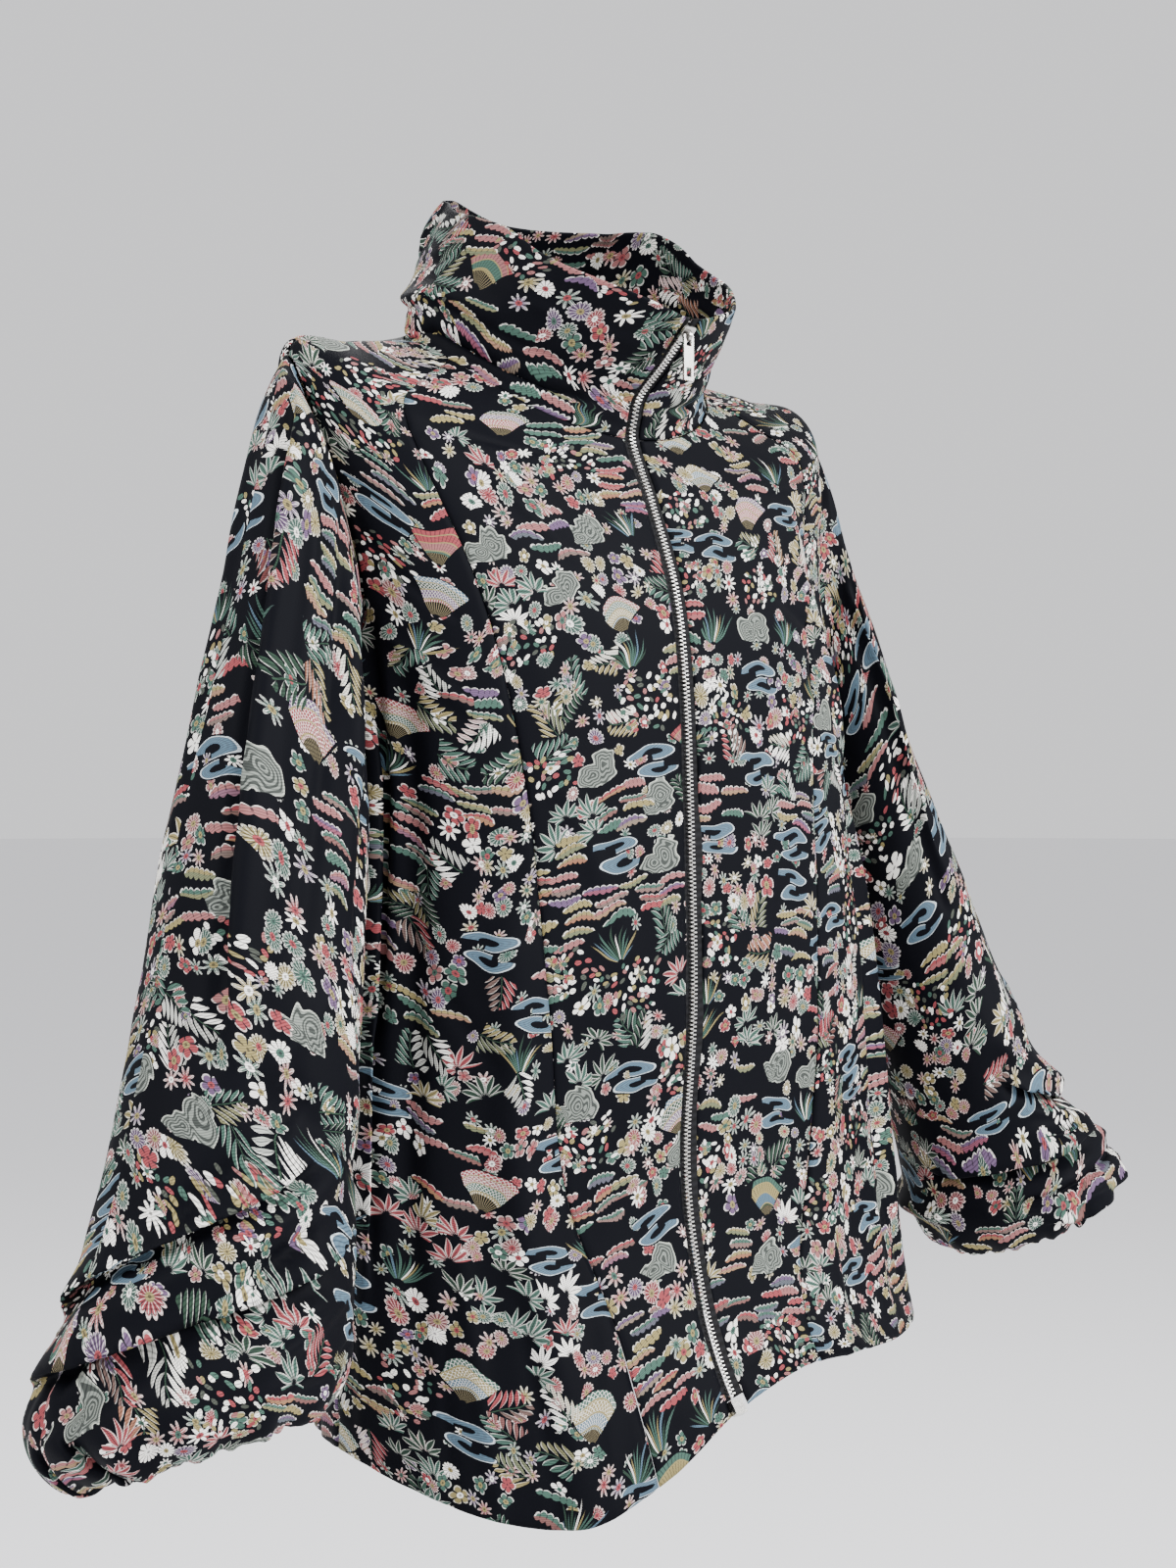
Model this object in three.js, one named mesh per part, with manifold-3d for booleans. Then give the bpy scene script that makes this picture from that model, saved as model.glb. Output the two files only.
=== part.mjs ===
// Front-zipped jacket of black kimono silk, in the shape it takes when it is worn.
// Millimetres, +Z up. The wearer faces -Y and the wearer's right is -X.
// The origin is on the neck's axis, level with the side of the collar seam.
import * as THREE from 'three';
import { mergeVertices } from 'three/addons/utils/BufferGeometryUtils.js';
import Module from 'manifold-3d';

const wasm = await Module();
wasm.setup();

// Walls and gaps
const CLOTH_WALL = 1.6;
const COLLAR_WALL = 2.4;
const SEAM_GAP = 0.3;
const ARMHOLE_GAP = 1;
// Rings left free below and above the collar seam
const NECK_GAP = { body: 0.012, collar: 0.03 };

// Where the rings of the garment lie, counted up from the hem
const HEM = 0;
const UNDERARM = 5.1;
const SHOULDER_END = 7;
const NECK_SEAM = 9;
const COLLAR_TOP = 13;
// Above this ring the collar's heights turn into those of its upper edge
const COLLAR_EVEN = 11;

// Half the width of the armhole, in degrees round the body
const ARMHOLE_HALF_ANGLE = 15;

// Zip
const CHAIN_WIDTH = 5.8;
const CHAIN_THICKNESS = 2.6;
const TAPE_EDGE = 10;
const TAPE_THICKNESS = 1;
const TAPE_LIFT = -0.2;
const CHAIN_LIFT = 1.2;
const CHAIN_START = 0.14;
const SLIDER_RING = 12.72;
const SLIDER = { width: 9, length: 11, plate: 1.4, post: 4.4 };
const BRIDGE = { inner: 1.8, outer: 3.1, width: 2.4, sides: 1.1 };
const TAB = { width: 7.6, length: 27, thickness: 1.5, bar: 1.6, eye: 5.2, arm: 1.8, window: 5.4, foot: 2.2 };
const BOTTOM_BOX = { width: 8.4, length: 9, thickness: 4.2, gap: 1.5 };

// How finely each wall is divided. The sleeve has two columns for each row beside the armhole,
// and the collar has the columns of the panels under it.
const ROWS = { below: 10, beside: 15, above: 6, collar: 8, sleeve: 23, zip: 40 };
const COLUMNS = { centreFront: 5, sideFront: 6, back: 16, sleeve: 2 * ROWS.beside };

const SILK = new THREE.MeshStandardMaterial({ color: 0x3d3b42, roughness: 0.55, metalness: 0 });
const TAPE = new THREE.MeshStandardMaterial({ color: 0x101012, roughness: 0.8, metalness: 0 });
const NICKEL = new THREE.MeshStandardMaterial({ color: 0xc9cacc, roughness: 0.3, metalness: 1 });

// Rings of the body and the collar, from the hem up. Each gives its heights in front, at the sides
// and behind, the y of its middle, its half widths, and its depths ahead of and behind the middle.
const RINGS = [
  { at: 0, zFront: -640, zSide: -640, zBack: -640, middle: -8, right: 190, left: 250, front: 126, back: 112 },
  { at: 1, zFront: -565, zSide: -575, zBack: -570, middle: -5, right: 190, left: 251, front: 99, back: 106 },
  { at: 2, zFront: -490, zSide: -490, zBack: -490, middle: -3, right: 188, left: 243, front: 87, back: 101 },
  { at: 3, zFront: -390, zSide: -390, zBack: -390, middle: 0, right: 184, left: 228, front: 96, back: 94 },
  { at: 4, zFront: -280, zSide: -280, zBack: -280, middle: 0, right: 180, left: 209, front: 93, back: 90 },
  { at: 5, zFront: -208, zSide: -205, zBack: -205, middle: 2, right: 182, left: 200, front: 91, back: 88 },
  { at: 6, zFront: -150, zSide: -140, zBack: -140, middle: 6, right: 188, left: 192, front: 86, back: 84 },
  { at: 7, zFront: -97, zSide: -22, zBack: -42, middle: 20, right: 206, left: 206, front: 79, back: 72 },
  { at: 8, zFront: -76, zSide: -7, zBack: 2, middle: 26, right: 158, left: 158, front: 75, back: 68 },
  { at: 9, zFront: -57, zSide: -1, zBack: 26, middle: 28, right: 110, left: 110, front: 69, back: 66 },
  { at: 10, zFront: -44, zSide: 8, zBack: 38, middle: 27, right: 106, left: 106, front: 70, back: 74 },
  { at: 11, zFront: -31, zSide: 25, zBack: 54, middle: 22, right: 106, left: 106, front: 71, back: 84 },
  { at: 12, zFront: -14, zSide: 46, zBack: 74, middle: 10, right: 98, left: 98, front: 82, back: 88 },
  { at: 13, zFront: 6, zSide: 69, zBack: 94, middle: -3, right: 88, left: 87, front: 92, back: 86 },
];

// The hem's height round the body: 0 is the centre front, and the wearer's right is positive
const HEM_LINE = [
  { angle: -180, z: -640 },
  { angle: -90, z: -618 },
  { angle: -45, z: -616 },
  { angle: -15, z: -608 },
  { angle: 0, z: -624 },
  { angle: 15, z: -655 },
  { angle: 30, z: -674 },
  { angle: 45, z: -671 },
  { angle: 70, z: -650 },
  { angle: 90, z: -638 },
  { angle: 180, z: -640 },
];

// The height of the collar's upper edge, round the neck
const TOP_LINE = [
  { angle: -180, z: 96 },
  { angle: -115, z: 95 },
  { angle: -100, z: 84 },
  { angle: -88, z: 68 },
  { angle: -60, z: 43 },
  { angle: -45, z: 27 },
  { angle: -20, z: 14 },
  { angle: 0, z: 7 },
  { angle: 20, z: 16 },
  { angle: 45, z: 31 },
  { angle: 60, z: 43 },
  { angle: 75, z: 61 },
  { angle: 90, z: 71 },
  { angle: 110, z: 81 },
  { angle: 140, z: 99 },
  { angle: 180, z: 96 },
];

// The slanted seam between the centre and the side panel of each front
const FRONT_SEAM = [
  { at: 0, angle: 17 },
  { at: 1, angle: 20 },
  { at: 2, angle: 27 },
  { at: 4, angle: 36 },
  { at: 6, angle: 44 },
  { at: 7, angle: 50 },
  { at: 8, angle: 60 },
  { at: 9, angle: 70 },
];

// Large folds of the body: soft ridges (or troughs, where the height is below 0) between two points
const BODY_FOLDS = [
  { fromAngle: 30, fromAt: 0, toAngle: 40, toAt: 3.2, width: 17, height: 8 },
  { fromAngle: 62, fromAt: 0.6, toAngle: 66, toAt: 5, width: 14, height: -6 },
  { fromAngle: 76, fromAt: 5.6, toAngle: 74, toAt: 3, width: 9, height: -6 },
  { fromAngle: -24, fromAt: 0, toAngle: -34, toAt: 2.6, width: 16, height: 7 },
  { fromAngle: -64, fromAt: 0.2, toAngle: -66, toAt: 3.8, width: 20, height: 7 },
  { fromAngle: -38, fromAt: 6.6, toAngle: -62, toAt: 4.6, width: 12, height: 5 },
  { fromAngle: 120, fromAt: 0, toAngle: 126, toAt: 3.5, width: 22, height: 8 },
  { fromAngle: 180, fromAt: 0.4, toAngle: 176, toAt: 4, width: 22, height: -7 },
  { fromAngle: -126, fromAt: 0, toAngle: -122, toAt: 3.6, width: 22, height: 8 },
];

// Slouch of the collar: creases that run round it, and the corner that stands up behind
const COLLAR_FOLDS = [
  { fromAngle: 22, fromAt: 10.3, toAngle: 96, toAt: 9.9, width: 5, height: -7 },
  { fromAngle: -18, fromAt: 10.4, toAngle: -80, toAt: 10.1, width: 5, height: -6 },
  { fromAngle: 60, fromAt: 11.4, toAngle: 128, toAt: 10.8, width: 6, height: 5 },
  { fromAngle: 132, fromAt: 13, toAngle: 134, toAt: 11.8, width: 7, height: 7 },
  { fromAngle: -132, fromAt: 13, toAngle: -136, toAt: 12, width: 8, height: 5 },
];

// Sections of each sleeve below the armhole: the outer and the inner point, and the half depth
const SLEEVE_SECTIONS = {
  right: [
    { at: 1, outX: 227, outZ: -52, inX: 192, inZ: -203, y: 2, deep: 46 },
    { at: 2, outX: 246, outZ: -108, inX: 194, inZ: -223, y: -10, deep: 50 },
    { at: 3, outX: 267, outZ: -170, inX: 196, inZ: -247, y: -20, deep: 52 },
    { at: 4, outX: 291, outZ: -240, inX: 197, inZ: -283, y: -30, deep: 54 },
    { at: 5, outX: 315, outZ: -320, inX: 205, inZ: -336, y: -40, deep: 57 },
    { at: 6, outX: 337, outZ: -398, inX: 217, inZ: -402, y: -52, deep: 59 },
    { at: 7, outX: 358, outZ: -462, inX: 227, inZ: -464, y: -64, deep: 62 },
    { at: 8, outX: 383, outZ: -512, inX: 237, inZ: -515, y: -74, deep: 68 },
    { at: 9, outX: 406, outZ: -556, inX: 246, inZ: -556, y: -82, deep: 74 },
    { at: 10, outX: 388, outZ: -580, inX: 266, inZ: -578, y: -87, deep: 62 },
    { at: 11, outX: 374, outZ: -572, inX: 280, inZ: -571, y: -90, deep: 48 },
  ],
  left: [
    { at: 1, outX: 214, outZ: -50, inX: 203, inZ: -203, y: 16, deep: 30 },
    { at: 2, outX: 228, outZ: -105, inX: 209, inZ: -223, y: 16, deep: 40 },
    { at: 3, outX: 254, outZ: -170, inX: 215, inZ: -247, y: 15, deep: 48 },
    { at: 4, outX: 278, outZ: -240, inX: 222, inZ: -283, y: 12, deep: 52 },
    { at: 5, outX: 307, outZ: -320, inX: 232, inZ: -336, y: -2, deep: 56 },
    { at: 6, outX: 332, outZ: -398, inX: 243, inZ: -402, y: -18, deep: 60 },
    { at: 7, outX: 355, outZ: -462, inX: 255, inZ: -464, y: -36, deep: 65 },
    { at: 8, outX: 379, outZ: -512, inX: 262, inZ: -515, y: -51, deep: 70 },
    { at: 9, outX: 400, outZ: -556, inX: 265, inZ: -556, y: -61, deep: 75 },
    { at: 10, outX: 388, outZ: -576, inX: 279, inZ: -576, y: -66, deep: 63 },
    { at: 11, outX: 370, outZ: -569, inX: 292, inZ: -569, y: -68, deep: 49 },
  ],
};
const WRIST = 11;

// How far each sleeve's end drops below the sections' heights, round the sleeve
// (0 is outside, 90 in front, 180 inside and 270 behind)
const WRIST_DROP = {
  right: [
    { angle: 0, drop: 22 },
    { angle: 60, drop: 2 },
    { angle: 120, drop: -4 },
    { angle: 180, drop: 6 },
    { angle: 250, drop: 26 },
    { angle: 310, drop: 34 },
    { angle: 360, drop: 22 },
  ],
  left: [
    { angle: 0, drop: -50 },
    { angle: 60, drop: -42 },
    { angle: 120, drop: -12 },
    { angle: 180, drop: 6 },
    { angle: 250, drop: -6 },
    { angle: 310, drop: -30 },
    { angle: 360, drop: -50 },
  ],
};

const SLEEVE_FOLDS = {
  right: [
    { fromAngle: 30, fromAt: 0.6, toAngle: 54, toAt: 6.2, width: 10, height: 6 },
    { fromAngle: 20, fromAt: 0.6, toAngle: 45, toAt: 6, width: 6, height: -4 },
    { fromAngle: 100, fromAt: 1.4, toAngle: 108, toAt: 4.6, width: 11, height: 7 },
    { fromAngle: 8, fromAt: 8.1, toAngle: 110, toAt: 6.9, width: 12, height: 11 },
    { fromAngle: 0, fromAt: 8.9, toAngle: 90, toAt: 7.9, width: 9, height: -9 },
    { fromAngle: 150, fromAt: 7, toAngle: 60, toAt: 6.2, width: 10, height: -5 },
    { fromAngle: 300, fromAt: 8.4, toAngle: 230, toAt: 7, width: 13, height: 8 },
  ],
  left: [
    { fromAngle: 76, fromAt: 0.8, toAngle: 92, toAt: 5, width: 12, height: 6 },
    { fromAngle: 10, fromAt: 7, toAngle: 70, toAt: 7.5, width: 9, height: -10 },
    { fromAngle: 0, fromAt: 7.5, toAngle: 100, toAt: 6.7, width: 11, height: 9 },
    { fromAngle: 60, fromAt: 8.1, toAngle: 150, toAt: 8.3, width: 9, height: -8 },
    { fromAngle: 20, fromAt: 8.4, toAngle: 110, toAt: 7.9, width: 10, height: 7 },
    { fromAngle: 300, fromAt: 8.2, toAngle: 230, toAt: 7, width: 13, height: 8 },
  ],
};

// Gathers at the end of each sleeve
const GATHERS = { count: 12, start: 8.3, span: 1.5, height: 3 };

// How high a fold stands at its two ends, as a share of its middle
const FOLD_ENDS = 0.55;

// Folds fade out between these angles, so that the zip lies flat
const ZIP_FLAT = { from: 4, to: 12 };

// How sharply the height of a ring changes from its sides to its front and back
const RING_POWER = 1.4;

// The rings over which a sleeve's folds come in, and over which its end drops
const SLEEVE_FOLD_START = 1.2;
const SLEEVE_DROP = { start: 6.5, span: 3.5 };

// Millimetres for a degree and for a ring, where a fold's distance is measured
const BODY_STEP = { angle: 3.2, at: 78 };
const COLLAR_STEP = { angle: 1.7, at: 22 };
const SLEEVE_STEP = { angle: 1.05, at: 58 };

function smoothStep(value) {
  const x = THREE.MathUtils.clamp(value, 0, 1);
  return x * x * (3 - 2 * x);
}

// A smooth curve through one column of a table
function sample(table, key, value, result) {
  const last = table.length - 1;
  const x = THREE.MathUtils.clamp(value, table[0][key], table[last][key]);
  let i = 0;
  while (i < last - 1 && x > table[i + 1][key]) i += 1;
  const slope = (k) => {
    const low = table[Math.max(k - 1, 0)];
    const high = table[Math.min(k + 1, last)];
    return (high[result] - low[result]) / (high[key] - low[key]);
  };
  const span = table[i + 1][key] - table[i][key];
  const f = (x - table[i][key]) / span;
  const [f2, f3] = [f * f, f * f * f];
  return (2 * f3 - 3 * f2 + 1) * table[i][result] + (f3 - 2 * f2 + f) * span * slope(i)
    + (3 * f2 - 2 * f3) * table[i + 1][result] + (f3 - f2) * span * slope(i + 1);
}

function sampleRow(table, at) {
  const row = {};
  for (const key of Object.keys(table[0])) row[key] = sample(table, 'at', at, key);
  return row;
}

function turned(degrees) {
  return ((degrees + 540) % 360 + 360) % 360 - 180;
}

// How far the folds push the cloth out at one place
function foldHeight(folds, step, degrees, at) {
  let total = 0;
  for (const fold of folds) {
    const x = turned(degrees - fold.fromAngle) * step.angle;
    const y = (at - fold.fromAt) * step.at;
    const dx = (fold.toAngle - fold.fromAngle) * step.angle;
    const dy = (fold.toAt - fold.fromAt) * step.at;
    const run = dx * dx + dy * dy;
    const f = THREE.MathUtils.clamp((x * dx + y * dy) / run, 0, 1);
    const distance = Math.hypot(x - f * dx, y - f * dy) / fold.width;
    const profile = FOLD_ENDS + (1 - FOLD_ENDS) * Math.sin(Math.PI * f);
    total += fold.height * Math.exp(-distance * distance) * profile;
  }
  return total;
}

// A ring's height where the garment faces so far ahead (1) or behind (-1)
function ringHeight(ring, ahead) {
  const endHeight = ahead > 0 ? ring.zFront : ring.zBack;
  return THREE.MathUtils.lerp(ring.zSide, endHeight, Math.pow(Math.abs(ahead), RING_POWER));
}

// A point of the body or the collar. 0 degrees is the centre front, and the wearer's right is positive.
function garmentPoint(degrees, at) {
  const ring = sampleRow(RINGS, at);
  const a = THREE.MathUtils.degToRad(degrees);
  const side = Math.sin(a);
  const ahead = Math.cos(a);
  const width = side > 0 ? ring.right : ring.left;
  const depth = ahead > 0 ? ring.front : ring.back;
  let z = ringHeight(ring, ahead);
  if (at < 1) {
    const hem = sample(HEM_LINE, 'angle', turned(degrees), 'z');
    z += (hem - RINGS[HEM].zSide) * (1 - at) * (1 - at);
  }
  if (at > COLLAR_EVEN) {
    const rise = sample(TOP_LINE, 'angle', turned(degrees), 'z') - ringHeight(RINGS[COLLAR_TOP], ahead);
    z += rise * smoothStep((at - COLLAR_EVEN) / (COLLAR_TOP - COLLAR_EVEN));
  }
  const fold = at > NECK_SEAM
    ? foldHeight(COLLAR_FOLDS, COLLAR_STEP, degrees, at) * smoothStep((at - NECK_SEAM) / 0.6)
    : foldHeight(BODY_FOLDS, BODY_STEP, degrees, at);
  const push = fold * smoothStep((Math.abs(turned(degrees)) - ZIP_FLAT.from) / (ZIP_FLAT.to - ZIP_FLAT.from));
  return new THREE.Vector3(-(width + push) * side, ring.middle - (depth + push) * ahead, z);
}

// The armhole's edge: 0 is its top, 90 its front, 180 the underarm and 270 its back
function armholeEdge(turn) {
  const a = THREE.MathUtils.degToRad(turn);
  const middle = (UNDERARM + SHOULDER_END) / 2;
  const half = (SHOULDER_END - UNDERARM) / 2;
  return { angle: 90 - ARMHOLE_HALF_ANGLE * Math.sin(a), at: middle + half * Math.cos(a) };
}

function armholeHalfAngle(at) {
  const middle = (UNDERARM + SHOULDER_END) / 2;
  const half = (SHOULDER_END - UNDERARM) / 2;
  const f = (at - middle) / half;
  return Math.abs(f) < 1 ? ARMHOLE_HALF_ANGLE * Math.sqrt(1 - f * f) : 0;
}

// A point on one section of a sleeve: turn 0 is outside, 90 in front, 180 inside and 270 behind
function sleeveRingPoint(section, turn) {
  const a = THREE.MathUtils.degToRad(turn);
  const x = (section.outX + section.inX) / 2 + Math.cos(a) * (section.outX - section.inX) / 2;
  const z = (section.outZ + section.inZ) / 2 + Math.cos(a) * (section.outZ - section.inZ) / 2;
  return new THREE.Vector3(x, section.y - Math.sin(a) * section.deep, z);
}

// A point of a sleeve, which grows out of the armhole's edge and then follows its sections
function sleevePoint(side, turn, at) {
  const mirror = side === 'right' ? -1 : 1;
  const sections = SLEEVE_SECTIONS[side];
  const point = sleeveRingPoint(sampleRow(sections, Math.max(at, 1)), turn);
  point.x *= mirror;
  if (at < 1) {
    const edge = armholeEdge(turn);
    const start = garmentPoint(-mirror * edge.angle, edge.at);
    start.x += mirror * ARMHOLE_GAP;
    const next = sleeveRingPoint(sections[1], turn);
    next.x *= mirror;
    const leave = point.clone().sub(start);
    const arrive = next.sub(point);
    const [f2, f3] = [at * at, at * at * at];
    point.multiplyScalar(3 * f2 - 2 * f3).addScaledVector(start, 2 * f3 - 3 * f2 + 1)
      .addScaledVector(leave, f3 - 2 * f2 + at).addScaledVector(arrive, f3 - f2);
  }
  const drop = sample(WRIST_DROP[side], 'angle', ((turn % 360) + 360) % 360, 'drop');
  point.z -= drop * smoothStep((at - SLEEVE_DROP.start) / SLEEVE_DROP.span);
  const a = THREE.MathUtils.degToRad(turn);
  const push = foldHeight(SLEEVE_FOLDS[side], SLEEVE_STEP, turn, at) * smoothStep(at / SLEEVE_FOLD_START)
    + GATHERS.height * Math.cos(a * GATHERS.count) * smoothStep((at - GATHERS.start) / GATHERS.span);
  point.x += mirror * push * Math.cos(a);
  point.y -= push * Math.sin(a);
  return point;
}

// The outward normal of a surface that is a function of a turn in degrees and a ring
function surfaceNormal(point, turn, at, [lowest, highest], sign) {
  const alongTurn = point(turn + 1, at).sub(point(turn - 1, at));
  const high = Math.min(at + 0.04, highest);
  const low = Math.max(at - 0.04, lowest);
  const alongRing = point(turn, high).sub(point(turn, low));
  return alongRing.cross(alongTurn).normalize().multiplyScalar(sign);
}

// A closed wall between an outer and an inner layer of points. place(u, v) gives the turn and ring
// of a point, and u grows to the left of v when the wall is seen from outside.
function makeWall(surface, place, [across, along], thickness, { closed = false, lift = 0 } = {}) {
  const columns = closed ? across : across + 1;
  const rows = along + 1;
  const positions = [];
  for (const offset of [lift, lift - thickness]) {
    for (let j = 0; j < rows; j += 1) {
      for (let i = 0; i < columns; i += 1) {
        const [turn, at] = place(i / across, j / along);
        const normal = surfaceNormal(surface.point, turn, at, surface.range, surface.sign);
        const p = surface.point(turn, at).addScaledVector(normal, offset);
        positions.push(p.x, p.y, p.z);
      }
    }
  }
  const layer = columns * rows;
  const index = (i, j, inner) => (i % columns) + j * columns + (inner ? layer : 0);
  const faces = [];
  const quad = (a, b, c, d) => faces.push(a, b, c, a, c, d);
  const rim = (i0, j0, i1, j1) => quad(index(i1, j1, false), index(i0, j0, false),
    index(i0, j0, true), index(i1, j1, true));
  for (let j = 0; j < along; j += 1) {
    for (let i = 0; i < across; i += 1) {
      quad(index(i, j, false), index(i, j + 1, false), index(i + 1, j + 1, false), index(i + 1, j, false));
      quad(index(i + 1, j, true), index(i + 1, j + 1, true), index(i, j + 1, true), index(i, j, true));
    }
    if (!closed) {
      rim(0, j, 0, j + 1);
      rim(across, j + 1, across, j);
    }
  }
  for (let i = 0; i < across; i += 1) {
    rim(i + 1, 0, i, 0);
    rim(i, along, i + 1, along);
  }
  const geometry = new THREE.BufferGeometry();
  geometry.setAttribute('position', new THREE.Float32BufferAttribute(positions, 3));
  geometry.setIndex(faces);
  return geometry;
}

function piece(name, geometry, material) {
  const mesh = new THREE.Mesh(geometry, material);
  mesh.name = name;
  return mesh;
}

const GARMENT = { point: garmentPoint, range: [HEM, COLLAR_TOP], sign: 1 };

// The angle that is so many millimetres round from another one
function angleAfter(degrees, at, distance) {
  const speed = garmentPoint(degrees + 0.5, at).distanceTo(garmentPoint(degrees - 0.5, at));
  return degrees + distance / speed;
}

const BODY_ROWS = ROWS.below + ROWS.beside + ROWS.above;

// The ring that each row of a body panel lies on. Beside the armhole they are closer together at
// its two ends, where its edge turns.
function bodyRing(row) {
  if (row < ROWS.below) return THREE.MathUtils.lerp(HEM, UNDERARM, row / ROWS.below);
  if (row < ROWS.below + ROWS.beside) {
    const f = (row - ROWS.below) / ROWS.beside;
    return UNDERARM + (SHOULDER_END - UNDERARM) * (1 - Math.cos(Math.PI * f)) / 2;
  }
  const top = NECK_SEAM - NECK_GAP.body;
  return THREE.MathUtils.lerp(SHOULDER_END, top, (row - ROWS.below - ROWS.beside) / ROWS.above);
}

// One panel of the body, between two seams that are functions of the ring
function bodyPanel(name, columns, startAngle, endAngle) {
  const place = (u, v) => {
    const at = bodyRing(Math.round(v * BODY_ROWS));
    const start = angleAfter(startAngle(at), at, SEAM_GAP / 2);
    const end = angleAfter(endAngle(at), at, -SEAM_GAP / 2);
    return [THREE.MathUtils.lerp(start, end, u), at];
  };
  return piece(name, makeWall(GARMENT, place, [columns, BODY_ROWS], CLOTH_WALL), SILK);
}

const frontSeam = (at) => sample(FRONT_SEAM, 'at', at, 'angle');
const zipEdge = (at) => angleAfter(0, at, TAPE_EDGE);
const armholeFront = (at) => 90 - armholeHalfAngle(at);
const armholeBack = (at) => 90 + armholeHalfAngle(at);

function bodyPanels() {
  const { centreFront, sideFront, back } = COLUMNS;
  return [
    bodyPanel('right_front_centre', centreFront, zipEdge, frontSeam),
    bodyPanel('right_front_side', sideFront, frontSeam, armholeFront),
    bodyPanel('back', back, armholeBack, (at) => 360 - armholeBack(at)),
    bodyPanel('left_front_side', sideFront, (at) => -armholeFront(at), (at) => -frontSeam(at)),
    bodyPanel('left_front_centre', centreFront, (at) => -frontSeam(at), (at) => -zipEdge(at)),
  ];
}

// The collar is one double band, from one side of the zip round the neck to the other
function collar() {
  const { centreFront, sideFront, back } = COLUMNS;
  const counts = [centreFront, sideFront, back, sideFront, centreFront];
  const columns = counts.reduce((sum, count) => sum + count, 0);
  const bottom = NECK_SEAM + NECK_GAP.collar;
  const place = (u, v) => {
    const at = THREE.MathUtils.lerp(bottom, COLLAR_TOP, v);
    const start = angleAfter(0, at, TAPE_EDGE + SEAM_GAP / 2);
    const seam = frontSeam(NECK_SEAM);
    const stops = [start, seam, 90, 270, 360 - seam, 360 - start];
    let column = Math.round(u * columns);
    let k = 0;
    while (column > counts[k]) {
      column -= counts[k];
      k += 1;
    }
    return [THREE.MathUtils.lerp(stops[k], stops[k + 1], column / counts[k]), at];
  };
  return piece('collar', makeWall(GARMENT, place, [columns, ROWS.collar], COLLAR_WALL), SILK);
}

function sleeve(side) {
  const sign = side === 'right' ? 1 : -1;
  const surface = {
    point: (turn, at) => sleevePoint(side, turn, at),
    range: [0, WRIST],
    sign,
  };
  const place = (u, v) => [sign * 360 * u, WRIST * v];
  const cells = [COLUMNS.sleeve, ROWS.sleeve];
  return piece(`${side}_sleeve`, makeWall(surface, place, cells, CLOTH_WALL, { closed: true }), SILK);
}

// A strip of the zip, between two distances from the centre front
function zipStrip(name, [start, end], [from, to], thickness, lift, material) {
  const place = (u, v) => {
    const at = THREE.MathUtils.lerp(from, to, v);
    return [angleAfter(0, at, THREE.MathUtils.lerp(start, end, u)), at];
  };
  return piece(name, makeWall(GARMENT, place, [1, ROWS.zip], thickness, { lift }), material);
}

function zipTapes() {
  const near = CHAIN_WIDTH / 2 + SEAM_GAP;
  const far = TAPE_EDGE - SEAM_GAP / 2;
  const run = [CHAIN_START, COLLAR_TOP];
  return [
    zipStrip('zip_tape_right', [near, far], run, TAPE_THICKNESS, TAPE_LIFT, TAPE),
    zipStrip('zip_tape_left', [-far, -near], run, TAPE_THICKNESS, TAPE_LIFT, TAPE),
  ];
}

// The zip's own axes at one ring: across, up along the zip, and out of the cloth
function zipFrame(at) {
  const origin = garmentPoint(0, at);
  const along = garmentPoint(0, at + 0.05).sub(garmentPoint(0, at - 0.05)).normalize();
  const across = new THREE.Vector3(1, 0, 0);
  const out = across.clone().cross(along);
  return new THREE.Matrix4().makeBasis(across, along, out).setPosition(origin);
}

// Millimetres along the zip for one ring, just above this place
function ringSpacing(at) {
  const step = 0.1;
  return garmentPoint(0, at + step).distanceTo(garmentPoint(0, at)) / step;
}

function zipChain() {
  const end = SLIDER_RING - (SLIDER.length / 2 + SEAM_GAP) / ringSpacing(SLIDER_RING);
  const half = CHAIN_WIDTH / 2;
  return zipStrip('zip_chain', [-half, half], [CHAIN_START, end], CHAIN_THICKNESS, CHAIN_LIFT, NICKEL);
}

function toManifold(geometry) {
  const plain = new THREE.BufferGeometry();
  plain.setAttribute('position', geometry.attributes.position.clone());
  if (geometry.index) plain.setIndex(geometry.index.clone());
  const merged = mergeVertices(plain, 1e-4);
  return new wasm.Manifold(new wasm.Mesh({
    numProp: 3,
    vertProperties: new Float32Array(merged.attributes.position.array),
    triVerts: new Uint32Array(merged.index.array),
  }));
}

function fromManifold(solid) {
  const mesh = solid.getMesh();
  const geometry = new THREE.BufferGeometry();
  geometry.setAttribute('position', new THREE.Float32BufferAttribute(mesh.vertProperties, 3));
  geometry.setIndex(Array.from(mesh.triVerts));
  return geometry;
}

function roundedPlate(width, length, radius) {
  const [x, y] = [width / 2, length / 2];
  const shape = new THREE.Shape();
  shape.moveTo(-x + radius, -y);
  shape.lineTo(x - radius, -y);
  shape.absarc(x - radius, -y + radius, radius, -Math.PI / 2, 0);
  shape.absarc(x - radius, y - radius, radius, 0, Math.PI / 2);
  shape.absarc(-x + radius, y - radius, radius, Math.PI / 2, Math.PI);
  shape.absarc(-x + radius, -y + radius, radius, Math.PI, 1.5 * Math.PI);
  return shape;
}

function extruded(shape, depth) {
  return new THREE.ExtrudeGeometry(shape, { depth, bevelEnabled: false, curveSegments: 4 });
}

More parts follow.
